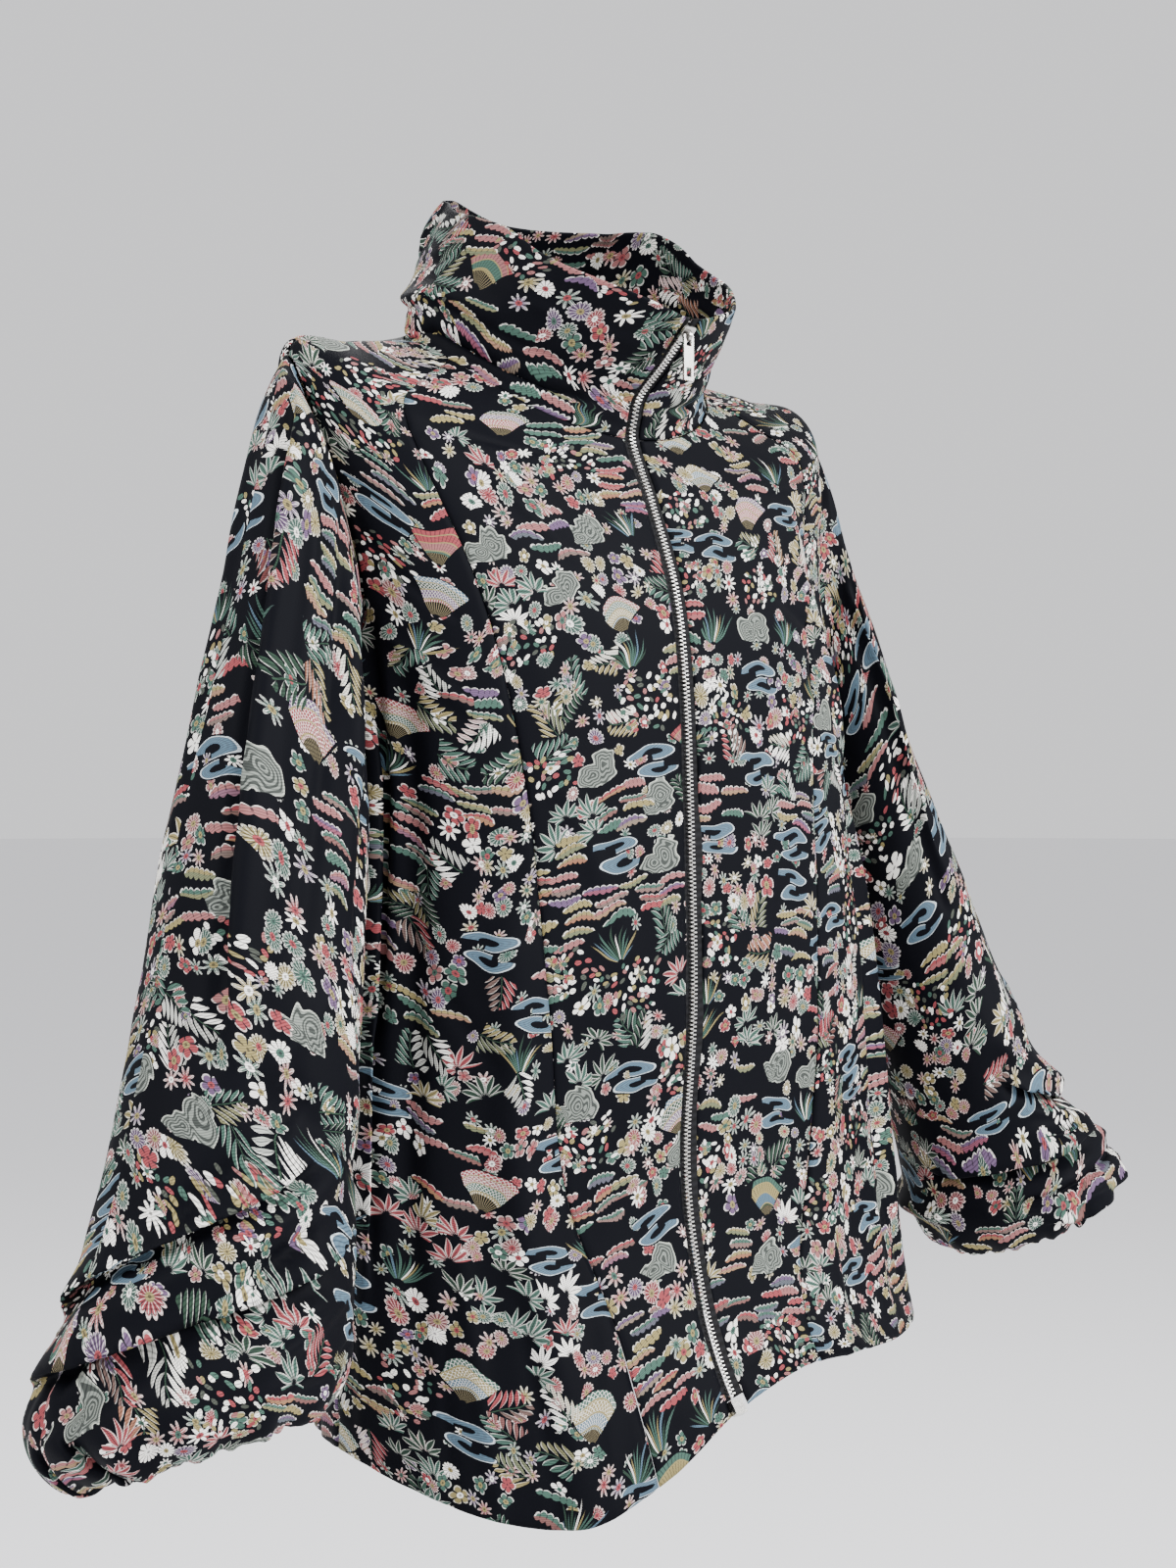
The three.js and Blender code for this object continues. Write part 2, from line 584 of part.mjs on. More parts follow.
// The slider: a plate before and one behind the tapes, the post that parts the teeth between them,
// and the arch that the pull tab's bar lies in
const PLATE_FRONT = CHAIN_LIFT + SEAM_GAP;
const PLATE_TOP = PLATE_FRONT + SLIDER.plate;
const PLATE_BACK = CHAIN_LIFT - CHAIN_THICKNESS - SEAM_GAP;
const PIVOT_HEIGHT = PLATE_TOP + BRIDGE.sides + SEAM_GAP;

function slider() {
  const plate = roundedPlate(SLIDER.width, SLIDER.length, 2.2);
  const front = extruded(plate, SLIDER.plate).translate(0, 0, PLATE_FRONT);
  const behind = extruded(plate, SLIDER.plate).translate(0, 0, PLATE_BACK - SLIDER.plate);
  const post = extruded(roundedPlate(SLIDER.post, SLIDER.length - 3, 1.4), PLATE_TOP - PLATE_BACK)
    .translate(0, 0, PLATE_BACK - 0.1);
  const arch = new THREE.Shape();
  arch.moveTo(BRIDGE.outer, -0.5);
  arch.lineTo(BRIDGE.outer, BRIDGE.sides);
  arch.absarc(0, BRIDGE.sides, BRIDGE.outer, 0, Math.PI);
  arch.lineTo(-BRIDGE.outer, -0.5);
  arch.lineTo(-BRIDGE.inner, -0.5);
  arch.absarc(0, BRIDGE.sides, BRIDGE.inner, Math.PI, 0, true);
  arch.lineTo(BRIDGE.inner, -0.5);
  const bridge = extruded(arch, BRIDGE.width).translate(0, 0, -BRIDGE.width / 2)
    .applyMatrix4(new THREE.Matrix4().makeBasis(
      new THREE.Vector3(0, 1, 0), new THREE.Vector3(0, 0, 1), new THREE.Vector3(1, 0, 0),
    )).translate(0, 0, PLATE_TOP);
  const solid = [behind, post, bridge].reduce((sum, part) => sum.add(toManifold(part)), toManifold(front));
  const mesh = piece('zip_slider', fromManifold(solid), NICKEL);
  mesh.applyMatrix4(zipFrame(SLIDER_RING));
  return mesh;
}

// The pull tab hangs straight down from its bar. Its upper window goes round the arch.
function pullTab() {
  const outline = roundedPlate(TAB.width, TAB.length, 0.8);
  const top = TAB.length / 2;
  const window = (high, low, half) => {
    const hole = new THREE.Path();
    hole.moveTo(-half, low);
    hole.lineTo(-half, high);
    hole.lineTo(half, high);
    hole.lineTo(half, low);
    hole.closePath();
    return hole;
  };
  const half = TAB.width / 2 - TAB.arm;
  outline.holes.push(window(top - TAB.bar, top - TAB.bar - TAB.eye, half));
  outline.holes.push(window(-top + TAB.foot + TAB.window, -top + TAB.foot, half));
  const plate = extruded(outline, TAB.thickness).translate(0, -top + TAB.bar / 2, -TAB.thickness / 2);
  const mesh = piece('zip_pull_tab', plate, NICKEL);
  mesh.rotation.x = Math.PI / 2;
  mesh.position.copy(new THREE.Vector3(0, 0, PIVOT_HEIGHT).applyMatrix4(zipFrame(SLIDER_RING)));
  return mesh;
}

// The box that holds the zip's lower end
function bottomBox() {
  const box = extruded(roundedPlate(BOTTOM_BOX.width, BOTTOM_BOX.length, 1), BOTTOM_BOX.thickness)
    .translate(0, 0, -BOTTOM_BOX.thickness / 2);
  const mesh = piece('zip_bottom_box', box, NICKEL);
  const below = (BOTTOM_BOX.length / 2 + BOTTOM_BOX.gap) / ringSpacing(CHAIN_START);
  mesh.applyMatrix4(zipFrame(CHAIN_START - below));
  return mesh;
}

const group = new THREE.Group();
group.add(...bodyPanels());
group.add(collar());
group.add(sleeve('right'));
group.add(sleeve('left'));
group.add(...zipTapes());
group.add(zipChain());
group.add(slider());
group.add(pullTab());
group.add(bottomBox());

export default group;
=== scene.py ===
"""Dresses a zip-front jacket of black figured kimono silk, in its worn shape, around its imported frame."""
import logging
import math
from dataclasses import dataclass, replace
from enum import Enum, IntEnum
from functools import partialmethod
from typing import Callable, Sequence

import bmesh
import bpy
import numpy as np
from mathutils import Matrix, Vector, noise


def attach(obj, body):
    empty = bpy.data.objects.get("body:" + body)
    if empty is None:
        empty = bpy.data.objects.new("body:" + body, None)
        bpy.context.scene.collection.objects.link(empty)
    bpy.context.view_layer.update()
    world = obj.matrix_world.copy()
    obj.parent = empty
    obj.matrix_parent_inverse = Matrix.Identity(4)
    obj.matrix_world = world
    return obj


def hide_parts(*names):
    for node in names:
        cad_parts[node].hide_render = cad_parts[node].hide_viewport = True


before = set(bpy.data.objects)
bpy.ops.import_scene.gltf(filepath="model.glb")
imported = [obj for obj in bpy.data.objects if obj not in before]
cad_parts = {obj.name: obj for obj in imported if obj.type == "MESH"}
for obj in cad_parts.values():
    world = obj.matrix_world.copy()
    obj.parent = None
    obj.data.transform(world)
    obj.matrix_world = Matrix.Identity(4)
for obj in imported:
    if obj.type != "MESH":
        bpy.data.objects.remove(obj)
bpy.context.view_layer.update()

log = logging.getLogger("jacket")

MM = 0.001
Array = np.ndarray
Socket = bpy.types.NodeSocket

# Where the parts of the garment begin and end, in rings counted up from the hem. A sleeve counts its own rings,
# from the armhole to WRIST.
HEM = 0.0
UNDERARM = 5.1
SHOULDER_END = 7.0
ARMHOLE_MIDDLE = (UNDERARM + SHOULDER_END) / 2
ARMHOLE_HALF = (SHOULDER_END - UNDERARM) / 2
NECK_SEAM = 9.0
COLLAR_EVEN = 11.0
COLLAR_TOP = 13.0
ARMHOLE_HALF_ANGLE = 15.0
WRIST = 11.0

# Gaps and walls in millimetres, and the gap on each side of the neck's seam in rings
SEAM_GAP = 0.3
ARMHOLE_GAP = 1.0
CLOTH_WALL = 0.9
COLLAR_WALL = 2.4
NECK_GAP = {"body": 0.012, "collar": 0.03}

# The zip: distances from its middle and the slider's length in millimetres, and its two ends in rings
TAPE_EDGE = 10.0
CLOTH_EDGE = {"right": 4.8, "left": 7.3}
SLIDER_LENGTH = 11.0
CHAIN_START = 0.14
SLIDER_RING = 12.72

# How quickly a ring rises from its sides to its front and back
RING_POWER = 1.4

# How folds begin and end: their height at their own ends as a share, the degrees beside the zip over which they
# grow, and the rings over which they grow from the neck's seam and the armhole
FOLD_ENDS = 0.55
ZIP_FLAT = (4.0, 12.0)
NECK_FADE = 0.6
NECK_LAP_FADE = 0.5
SLEEVE_FOLD_START = 1.2
SLEEVE_LAP_START = 0.8

# Where the sleeve's end begins to drop and its small tucks begin, and over how many rings
SLEEVE_DROP = (6.5, 3.5)
SLEEVE_END_TUCKS = (9.2, 1.4)

RING_COLUMNS = ("at", "z_front", "z_side", "z_back", "middle", "right", "left", "front", "back")
RINGS = np.array([
    (0, -640, -640, -640, -8, 190, 250, 126, 112),
    (1, -565, -575, -570, -5, 190, 251, 99, 106),
    (2, -490, -490, -490, -3, 188, 243, 87, 101),
    (3, -390, -390, -390, 0, 184, 228, 96, 94),
    (4, -280, -280, -280, 0, 180, 209, 93, 90),
    (5, -208, -205, -205, 2, 182, 200, 91, 88),
    (6, -150, -140, -140, 6, 188, 192, 86, 84),
    (7, -97, -22, -42, 20, 206, 206, 79, 72),
    (8, -76, -7, 2, 26, 158, 158, 75, 68),
    (9, -57, -1, 26, 28, 110, 110, 69, 66),
    (10, -44, 8, 38, 27, 106, 106, 70, 74),
    (11, -31, 25, 54, 22, 106, 106, 71, 84),
    (12, -14, 46, 74, 10, 98, 98, 82, 88),
    (13, 6, 69, 94, -3, 88, 87, 92, 86),
], dtype=float)

# Angle round the body and height: 0 is the centre front, and the wearer's right is positive
HEM_LINE = np.array([
    (-180, -640), (-90, -618), (-45, -616), (-15, -608), (0, -624), (15, -655), (30, -674),
    (45, -671), (70, -650), (90, -638), (180, -640),
], dtype=float)
TOP_LINE = np.array([
    (-180, 96), (-115, 95), (-100, 84), (-88, 68), (-60, 43), (-45, 27), (-20, 14), (0, 7),
    (20, 16), (45, 31), (60, 43), (75, 61), (90, 71), (110, 81), (140, 99), (180, 96),
], dtype=float)

# Ring and angle of the slanted seam in each front
FRONT_SEAM = np.array([(0, 17), (1, 20), (2, 27), (4, 36), (6, 44), (7, 50), (8, 60), (9, 70)], dtype=float)


@dataclass(frozen=True)
class Fold:
    """A soft ridge of the cloth, or a trough where its height is below 0, between two points."""

    from_angle: float
    from_at: float
    to_angle: float
    to_at: float
    width: float
    height: float


@dataclass(frozen=True)
class Tuck:
    """A fold that laps over itself along a line: the side on its right rises and slides over the other."""

    from_angle: float
    from_at: float
    to_angle: float
    to_at: float
    width: float
    slide: float
    rise: float


def fold_rows(kind: type, table: Sequence[tuple[float, ...]]) -> tuple:
    """Turns the rows of a table into folds or tucks."""
    return tuple(kind(*row) for row in table)


# The folds that the solids have too
BODY_FOLDS = fold_rows(Fold, (
    (30, 0, 40, 3.2, 17, 8), (62, 0.6, 66, 5, 14, -6), (76, 5.6, 74, 3, 9, -6), (-24, 0, -34, 2.6, 16, 7),
    (-64, 0.2, -66, 3.8, 20, 7), (-38, 6.6, -62, 4.6, 12, 5), (120, 0, 126, 3.5, 22, 8),
    (180, 0.4, 176, 4, 22, -7), (-126, 0, -122, 3.6, 22, 8),
))
COLLAR_FOLDS = fold_rows(Fold, (
    (22, 10.3, 96, 9.9, 5, -7), (-18, 10.4, -80, 10.1, 5, -6), (60, 11.4, 128, 10.8, 6, 5),
    (132, 13, 134, 11.8, 7, 7), (-132, 13, -136, 12, 8, 5),
))

# Creases that only show from close by
BODY_CREASES = fold_rows(Fold, (
    (26, 0.0, 22, 0.9, 5, 2.2), (36, 0.0, 38, 1.2, 6, -2.4), (48, 0.1, 50, 1.6, 7, 2.6),
    (58, 0.0, 55, 1.0, 5, -1.8), (80, 0.2, 76, 1.7, 7, 2.2), (40, 2.6, 66, 3.4, 5, -1.6),
    (44, 4.6, 70, 5.4, 5, 1.8), (50, 5.6, 72, 6.2, 4, -1.6), (20, 6.2, 40, 7.2, 6, 1.7),
    (26, 7.6, 52, 6.9, 5, -1.5), (14, 3.2, 30, 4.2, 8, 1.4), (-16, 0.0, -20, 1.1, 5, 2.2),
    (-32, 0.0, -30, 1.5, 5, -2.2), (-46, 0.1, -50, 1.9, 7, 2.4), (-56, 0.0, -60, 1.3, 5, -1.8),
    (-78, 0.3, -74, 2.1, 8, 2.0), (-22, 4.4, -50, 5.2, 6, 1.8), (-30, 6.0, -56, 5.4, 4, -1.6),
    (-20, 7.3, -48, 6.8, 5, 1.6), (106, 0.0, 104, 2.4, 9, -3.0), (140, 0.1, 142, 3.0, 9, 3.2),
    (160, 0.0, 157, 1.8, 8, -2.6), (200, 0.2, 204, 2.6, 9, 3.0), (222, 0.0, 218, 3.1, 10, -3.2),
    (250, 0.1, 254, 2.2, 8, 2.6), (112, 5.6, 150, 4.7, 8, 2.6), (118, 6.4, 150, 5.9, 6, -2.0),
    (248, 5.5, 208, 4.8, 8, 2.6), (244, 6.3, 214, 6.0, 6, -1.8), (150, 8.2, 210, 8.1, 8, 1.8),
))
COLLAR_CREASES = fold_rows(Fold, (
    (30, 11.2, 74, 10.9, 2.6, -1.6), (16, 12.1, 50, 12.0, 3.0, 1.2), (80, 12.2, 118, 11.7, 3.2, -2.2),
    (100, 10.6, 150, 10.3, 3.0, -2.0), (128, 12.4, 138, 11.2, 2.6, -2.6), (46, 10.2, 84, 10.2, 2.2, -1.8),
    (-26, 11.2, -70, 11.0, 2.6, -1.5), (-60, 12.2, -110, 11.9, 3.4, -2.0),
    (-96, 10.8, -150, 10.4, 3.2, -2.2), (160, 11.0, 212, 10.9, 4.0, -2.2), (170, 12.3, 206, 12.2, 3.6, 1.8),
))

SLEEVE_COLUMNS = ("at", "out_x", "out_z", "in_x", "in_z", "y", "deep")
SLEEVE_SECTIONS = {
    "right": np.array([
        (1, 227, -52, 192, -203, 2, 46),
        (2, 246, -108, 194, -223, -10, 50),
        (3, 267, -170, 196, -247, -20, 52),
        (4, 291, -240, 197, -283, -30, 54),
        (5, 315, -320, 205, -336, -40, 57),
        (6, 337, -398, 217, -402, -52, 59),
        (7, 358, -462, 227, -464, -64, 62),
        (8, 383, -512, 237, -515, -74, 68),
        (9, 406, -556, 246, -556, -82, 74),
        (10, 388, -580, 266, -578, -87, 62),
        (11, 374, -572, 280, -571, -90, 48),
    ], dtype=float),
    "left": np.array([
        (1, 214, -50, 203, -203, 16, 30),
        (2, 228, -105, 209, -223, 16, 40),
        (3, 254, -170, 215, -247, 15, 48),
        (4, 278, -240, 222, -283, 12, 52),
        (5, 307, -320, 232, -336, -2, 56),
        (6, 332, -398, 243, -402, -18, 60),
        (7, 355, -462, 255, -464, -36, 65),
        (8, 379, -512, 262, -515, -51, 70),
        (9, 400, -556, 265, -556, -61, 75),
        (10, 388, -576, 279, -576, -66, 63),
        (11, 370, -569, 292, -569, -68, 49),
    ], dtype=float),
}

# Turn round the sleeve (0 outside, 90 in front, 180 inside, 270 behind) and how far its end drops
WRIST_DROP = {
    "right": np.array([(0, 22), (60, 2), (120, -4), (180, 6), (250, 26), (310, 34), (360, 22)], dtype=float),
    "left": np.array([(0, -50), (60, -42), (120, -12), (180, 6), (250, -6), (310, -30), (360, -50)],
                     dtype=float),
}
SLEEVE_FOLDS = {
    "right": fold_rows(Fold, (
        (30, 0.6, 54, 6.2, 10, 6), (20, 0.6, 45, 6, 6, -4), (100, 1.4, 108, 4.6, 11, 7),
        (8, 8.1, 110, 6.9, 12, 11), (0, 8.9, 90, 7.9, 9, -9), (150, 7, 60, 6.2, 10, -5),
        (300, 8.4, 230, 7, 13, 8),
    )),
    "left": fold_rows(Fold, (
        (76, 0.8, 92, 5, 12, 6), (10, 7, 70, 7.5, 9, -10), (0, 7.5, 100, 6.7, 11, 9),
        (60, 8.1, 150, 8.3, 9, -8), (20, 8.4, 110, 7.9, 10, 7), (300, 8.2, 230, 7, 13, 8),
    )),
}
SLEEVE_CREASES = {
    "right": fold_rows(Fold, (
        (62, 0.8, 70, 3.4, 6, -3), (84, 1.2, 82, 5.4, 6, -3), (120, 2.0, 124, 5.4, 6, -3),
        (340, 1.2, 350, 4.6, 8, 3), (316, 2.4, 320, 6.0, 8, -3), (280, 1.4, 270, 5.4, 9, 3),
        (240, 2.0, 236, 5.0, 8, -3), (50, 6.4, 104, 5.6, 6, 3), (36, 7.2, 84, 6.2, 5, -3),
        (70, 8.8, 130, 8.1, 6, 4), (80, 9.2, 140, 8.7, 4, -3), (340, 8.0, 300, 7.2, 7, -4),
        (200, 8.4, 260, 7.6, 7, -4), (2, 8.62, 98, 7.45, 3.6, -9), (12, 7.5, 92, 6.35, 3.6, -5),
        (346, 8.7, 352, 10.4, 4.5, -7), (14, 9.3, 18, 10.6, 4.0, -5), (34, 9.2, 40, 10.4, 6.0, 4),
        (322, 8.4, 326, 10.2, 5.0, 5), (60, 8.4, 112, 8.0, 3.4, -4),
    )),
    "left": fold_rows(Fold, (
        (60, 0.8, 70, 4.4, 6, -3), (96, 1.6, 106, 5.2, 6, -3), (30, 2.4, 44, 6.0, 8, 3),
        (20, 5.8, 76, 6.6, 6, 3), (40, 7.9, 110, 7.4, 5, 3), (30, 8.8, 100, 8.5, 5, -3),
        (84, 9.1, 150, 8.8, 5, 3), (12, 7.55, 56, 8.0, 3.4, -6), (30, 8.55, 150, 8.75, 3.6, -8),
        (2, 8.2, 40, 8.1, 3.4, -6), (358, 8.75, 10, 9.0, 9.0, 8), (62, 9.3, 70, 10.5, 4.0, -4),
        (100, 9.2, 108, 10.5, 4.5, 4), (20, 9.6, 26, 10.6, 4.0, -5), (300, 2.0, 290, 5.6, 9, 3),
        (250, 2.4, 246, 5.6, 8, -3), (330, 7.6, 290, 7.0, 7, -4),
    )),
}
SLEEVE_TUCKS = {
    "right": fold_rows(Tuck, (
        (27, 0.7, 50, 6.2, 7, 6, 4), (-52, 8.75, 146, 7.5, 9, 10, 6), (-46, 8.2, 108, 6.7, 8, 10, 6),
        (30, 10.9, 8, 8.9, 6, 6, 4), (-14, 10.9, -22, 9.1, 6, 6, 4), (250, 8.0, 320, 8.4, 8, 8, 5),
    )),
    "left": fold_rows(Tuck, (
        (24, 7.45, 124, 7.0, 8, 9, 6), (46, 7.85, 200, 8.2, 9, 11, 7), (28, 9.3, 130, 9.3, 6, 6, 4),
        (60, 10.8, 66, 9.4, 6, 3, 2), (104, 10.8, 106, 9.4, 6, 3, 2), (330, 8.4, 250, 8.0, 8, -8, 5),
        (84, 1.0, 96, 5.0, 7, 5, 3),
    )),
}
COLLAR_TUCKS = fold_rows(Tuck, (
    (116, 9.75, 22, 10.25, 5.5, 7.5, 4.2), (-28, 10.3, -92, 9.9, 5.5, 6, 3.6),
))
BODY_TUCKS = fold_rows(Tuck, (
    (74, 1.2, 77, 5.0, 7, 5, 2.6), (-58, 1.0, -62, 4.2, 8, -5, -2.6),
))

# How far a tuck shifts the cloth for each millimetre of its slide, the share of its length that fades out at
# each end, and the gathers at the sleeve's end
LAP_PEAK = 2.33
LAP_FADE = 0.22
GATHERS = {"count": 12, "start": 8.3, "span": 1.5, "height": 3.0}

# Steps in rings and degrees for measuring a surface's direction
NEAR_RING = 0.02
NEAR_ANGLE = 0.3

# Millimetres for a degree and for a ring, where a fold's distance is measured
BODY_STEP = (3.2, 78.0)
COLLAR_STEP = (1.7, 22.0)
SLEEVE_STEP = (1.05, 58.0)


def smooth_step(value: Array) -> Array:
    """Rises smoothly from 0 to 1 as value goes from 0 to 1."""
    x = np.clip(value, 0.0, 1.0)
    return x * x * (3 - 2 * x)


def sample(keys: Array, values: Array, x: Array) -> Array:
    """Reads a smooth curve through the rows of a table.

    Args:
        keys: the rising positions of the rows.
        values: the rows' values.
        x: where to read the curve; past its ends it stays level.

    Returns:
        The curve's values at x.
    """
    x = np.clip(x, keys[0], keys[-1])
    slope = np.empty(len(keys))
    slope[1:-1] = (values[2:] - values[:-2]) / (keys[2:] - keys[:-2])
    slope[0] = (values[1] - values[0]) / (keys[1] - keys[0])
    slope[-1] = (values[-1] - values[-2]) / (keys[-1] - keys[-2])
    i = np.clip(np.searchsorted(keys, x, side="right") - 1, 0, len(keys) - 2)
    span = keys[i + 1] - keys[i]
    f = (x - keys[i]) / span
    f2, f3 = f * f, f * f * f
    return ((2 * f3 - 3 * f2 + 1) * values[i] + (f3 - 2 * f2 + f) * span * slope[i]
            + (3 * f2 - 2 * f3) * values[i + 1] + (f3 - f2) * span * slope[i + 1])


def sample_row(table: Array, columns: Sequence[str], at: Array) -> dict[str, Array]:
    """Reads every column of a table at some rings, by name."""
    return {name: sample(table[:, 0], table[:, k], at) for k, name in enumerate(columns)}


def turned(degrees: Array) -> Array:
    """Brings angles into the range from -180 to 180."""
    return (degrees + 180.0) % 360.0 - 180.0


def fold_height(folds: Sequence[Fold], step: tuple[float, float], degrees: Array, at: Array) -> Array:
    """Adds up how far the folds push the cloth out.

    Args:
        folds: ridges and troughs.
        step: millimetres for a degree and for a ring.
        degrees: angles round the garment.
        at: rings.

    Returns:
        Millimetres, outwards.
    """
    total = np.zeros(np.broadcast(degrees, at).shape)
    for fold in folds:
        x = turned(degrees - fold.from_angle) * step[0]
        y = (at - fold.from_at) * step[1]
        dx = (fold.to_angle - fold.from_angle) * step[0]
        dy = (fold.to_at - fold.from_at) * step[1]
        f = np.clip((x * dx + y * dy) / (dx * dx + dy * dy), 0, 1)
        distance = np.hypot(x - f * dx, y - f * dy) / fold.width
        profile = FOLD_ENDS + (1 - FOLD_ENDS) * np.sin(np.pi * f)
        total += fold.height * np.exp(-distance * distance) * profile
    return total


def tuck_shift(tucks: Sequence[Tuck], step: tuple[float, float], degrees: Array, at: Array) -> Array:
    """Adds up how the tucks move the cloth.

    Args:
        tucks: folds that lap over.
        step: millimetres for a degree and for a ring.
        degrees: angles round the garment.
        at: rings.

    Returns:
        Millimetres round the surface, up its rings and out of it, in the last axis.
    """
    total = np.zeros(np.broadcast(degrees, at).shape + (3,))
    for tuck in tucks:
        x = turned(degrees - (tuck.from_angle + tuck.to_angle) / 2) * step[0]
        y = (at - (tuck.from_at + tuck.to_at) / 2) * step[1]
        dx = (tuck.to_angle - tuck.from_angle) * step[0]
        dy = (tuck.to_at - tuck.from_at) * step[1]
        length = math.hypot(dx, dy)
        f = 0.5 + (x * dx + y * dy) / length ** 2
        across = (y * dx - x * dy) / length / tuck.width
        lap = -LAP_PEAK * across * np.exp(-across * across)
        lap = lap * smooth_step(f / LAP_FADE) * smooth_step((1 - f) / LAP_FADE)
        total[..., 0] -= lap * tuck.slide * dy / length
        total[..., 1] += lap * tuck.slide * dx / length
        total[..., 2] += lap * tuck.rise
    return total


class Surface:
    """A surface that cloth is draped over, in angles round it and rings along it."""

    top: float
    outward = 1

    def point(self, angle: Array, at: Array) -> Array:
        """Places points of the surface, in millimetres, one in each row."""
        raise NotImplementedError

    def laps(self, angle: Array, at: Array) -> Array:
        """Returns how the tucks move the cloth round, up the rings and out, in millimetres."""
        raise NotImplementedError

    def frame(self, angle: Array, at: Array) -> tuple[Array, Array, Array]:
        """Returns unit vectors round the surface, up its rings and out of it."""
        near = np.clip(at, NEAR_RING, self.top - NEAR_RING)
        along = self.point(angle, near + NEAR_RING) - self.point(angle, near - NEAR_RING)
        across = self.point(angle + NEAR_ANGLE, near) - self.point(angle - NEAR_ANGLE, near)
        normal = np.cross(along, across)
        across, along, normal = (v / np.linalg.norm(v, axis=2)[..., None] for v in (across, along, normal))
        return across, along, self.outward * normal


class Body(Surface):
    """The surface of the body and the collar.

    0 degrees is the centre front, and the wearer's right is positive.
    """

    top = COLLAR_TOP

    @staticmethod
    def ring_height(ring: dict[str, Array], ahead: Array) -> Array:
        """Returns a ring's height where the garment faces so far ahead (1) or behind (-1)."""
        end = np.where(ahead > 0, ring["z_front"], ring["z_back"])
        return ring["z_side"] + (end - ring["z_side"]) * np.abs(ahead) ** RING_POWER

    def point(self, degrees: Array, at: Array) -> Array:
        """Places points of the body or the collar, in millimetres, one in each row."""
        degrees, at = np.broadcast_arrays(np.asarray(degrees, float), np.asarray(at, float))
        ring = sample_row(RINGS, RING_COLUMNS, at)
        side, ahead = np.sin(np.radians(degrees)), np.cos(np.radians(degrees))
        width = np.where(side > 0, ring["right"], ring["left"])
        depth = np.where(ahead > 0, ring["front"], ring["back"])
        z = self.ring_height(ring, ahead)
        hem = sample(HEM_LINE[:, 0], HEM_LINE[:, 1], turned(degrees))
        z = z + np.where(at < 1, (hem - RINGS[0, 2]) * (1 - at) ** 2, 0.0)
        top_ring = dict(zip(RING_COLUMNS, RINGS[int(COLLAR_TOP)]))
        rise = sample(TOP_LINE[:, 0], TOP_LINE[:, 1], turned(degrees)) - self.ring_height(top_ring, ahead)
        z = z + rise * smooth_step((at - COLLAR_EVEN) / (COLLAR_TOP - COLLAR_EVEN))
        push = self.folded(COLLAR_FOLDS, BODY_FOLDS, degrees, at)
        return np.stack([-(width + push) * side, ring["middle"] - (depth + push) * ahead, z], axis=-1)

    @staticmethod
    def calm(degrees: Array) -> Array:
        """Returns 0 beside the zip, where the cloth lies flat, rising to 1 away from it."""
        return smooth_step((np.abs(turned(degrees)) - ZIP_FLAT[0]) / (ZIP_FLAT[1] - ZIP_FLAT[0]))

    def folded(self, on_collar: Sequence[Fold], on_body: Sequence[Fold], degrees: Array, at: Array) -> Array:
        """Adds up folds, the collar's above its seam and the body's below it.

        Args:
            on_collar: folds of the collar.
            on_body: folds of the body.
            degrees: angles round the body.
            at: rings.

        Returns:
            Millimetres, outwards.
        """
        collar = fold_height(on_collar, COLLAR_STEP, degrees, at)
        collar = collar * smooth_step((at - NECK_SEAM) / NECK_FADE)
        body = fold_height(on_body, BODY_STEP, degrees, at)
        return np.where(at > NECK_SEAM, collar, body) * self.calm(degrees)

    def angle_after(self, degrees: Array, at: Array, distance: float) -> Array:
        """Returns the angle that is so many millimetres round from another one."""
        step = self.point(degrees + 0.5, at) - self.point(degrees - 0.5, at)
        return degrees + distance / np.linalg.norm(step, axis=-1)

    def beside_zip(self, at: Array, distance: float) -> Array:
        """Returns how many degrees a distance from the zip's middle makes, in millimetres, at some rings."""
        return self.angle_after(np.zeros(at.shape), at, distance)

    def creases(self, degrees: Array, at: Array) -> Array:
        """Returns how far the fine creases push the cloth out, in millimetres."""
        return self.folded(COLLAR_CREASES, BODY_CREASES, degrees, at)

    def laps(self, degrees: Array, at: Array) -> Array:
        """Returns how the tucks move the cloth round, up and out, in millimetres."""
        collar = tuck_shift(COLLAR_TUCKS, COLLAR_STEP, degrees, at)
        collar = collar * smooth_step((at - NECK_SEAM) / NECK_LAP_FADE)[..., None]
        body = tuck_shift(BODY_TUCKS, BODY_STEP, degrees, at)
        return np.where((at > NECK_SEAM)[..., None], collar, body) * self.calm(degrees)[..., None]


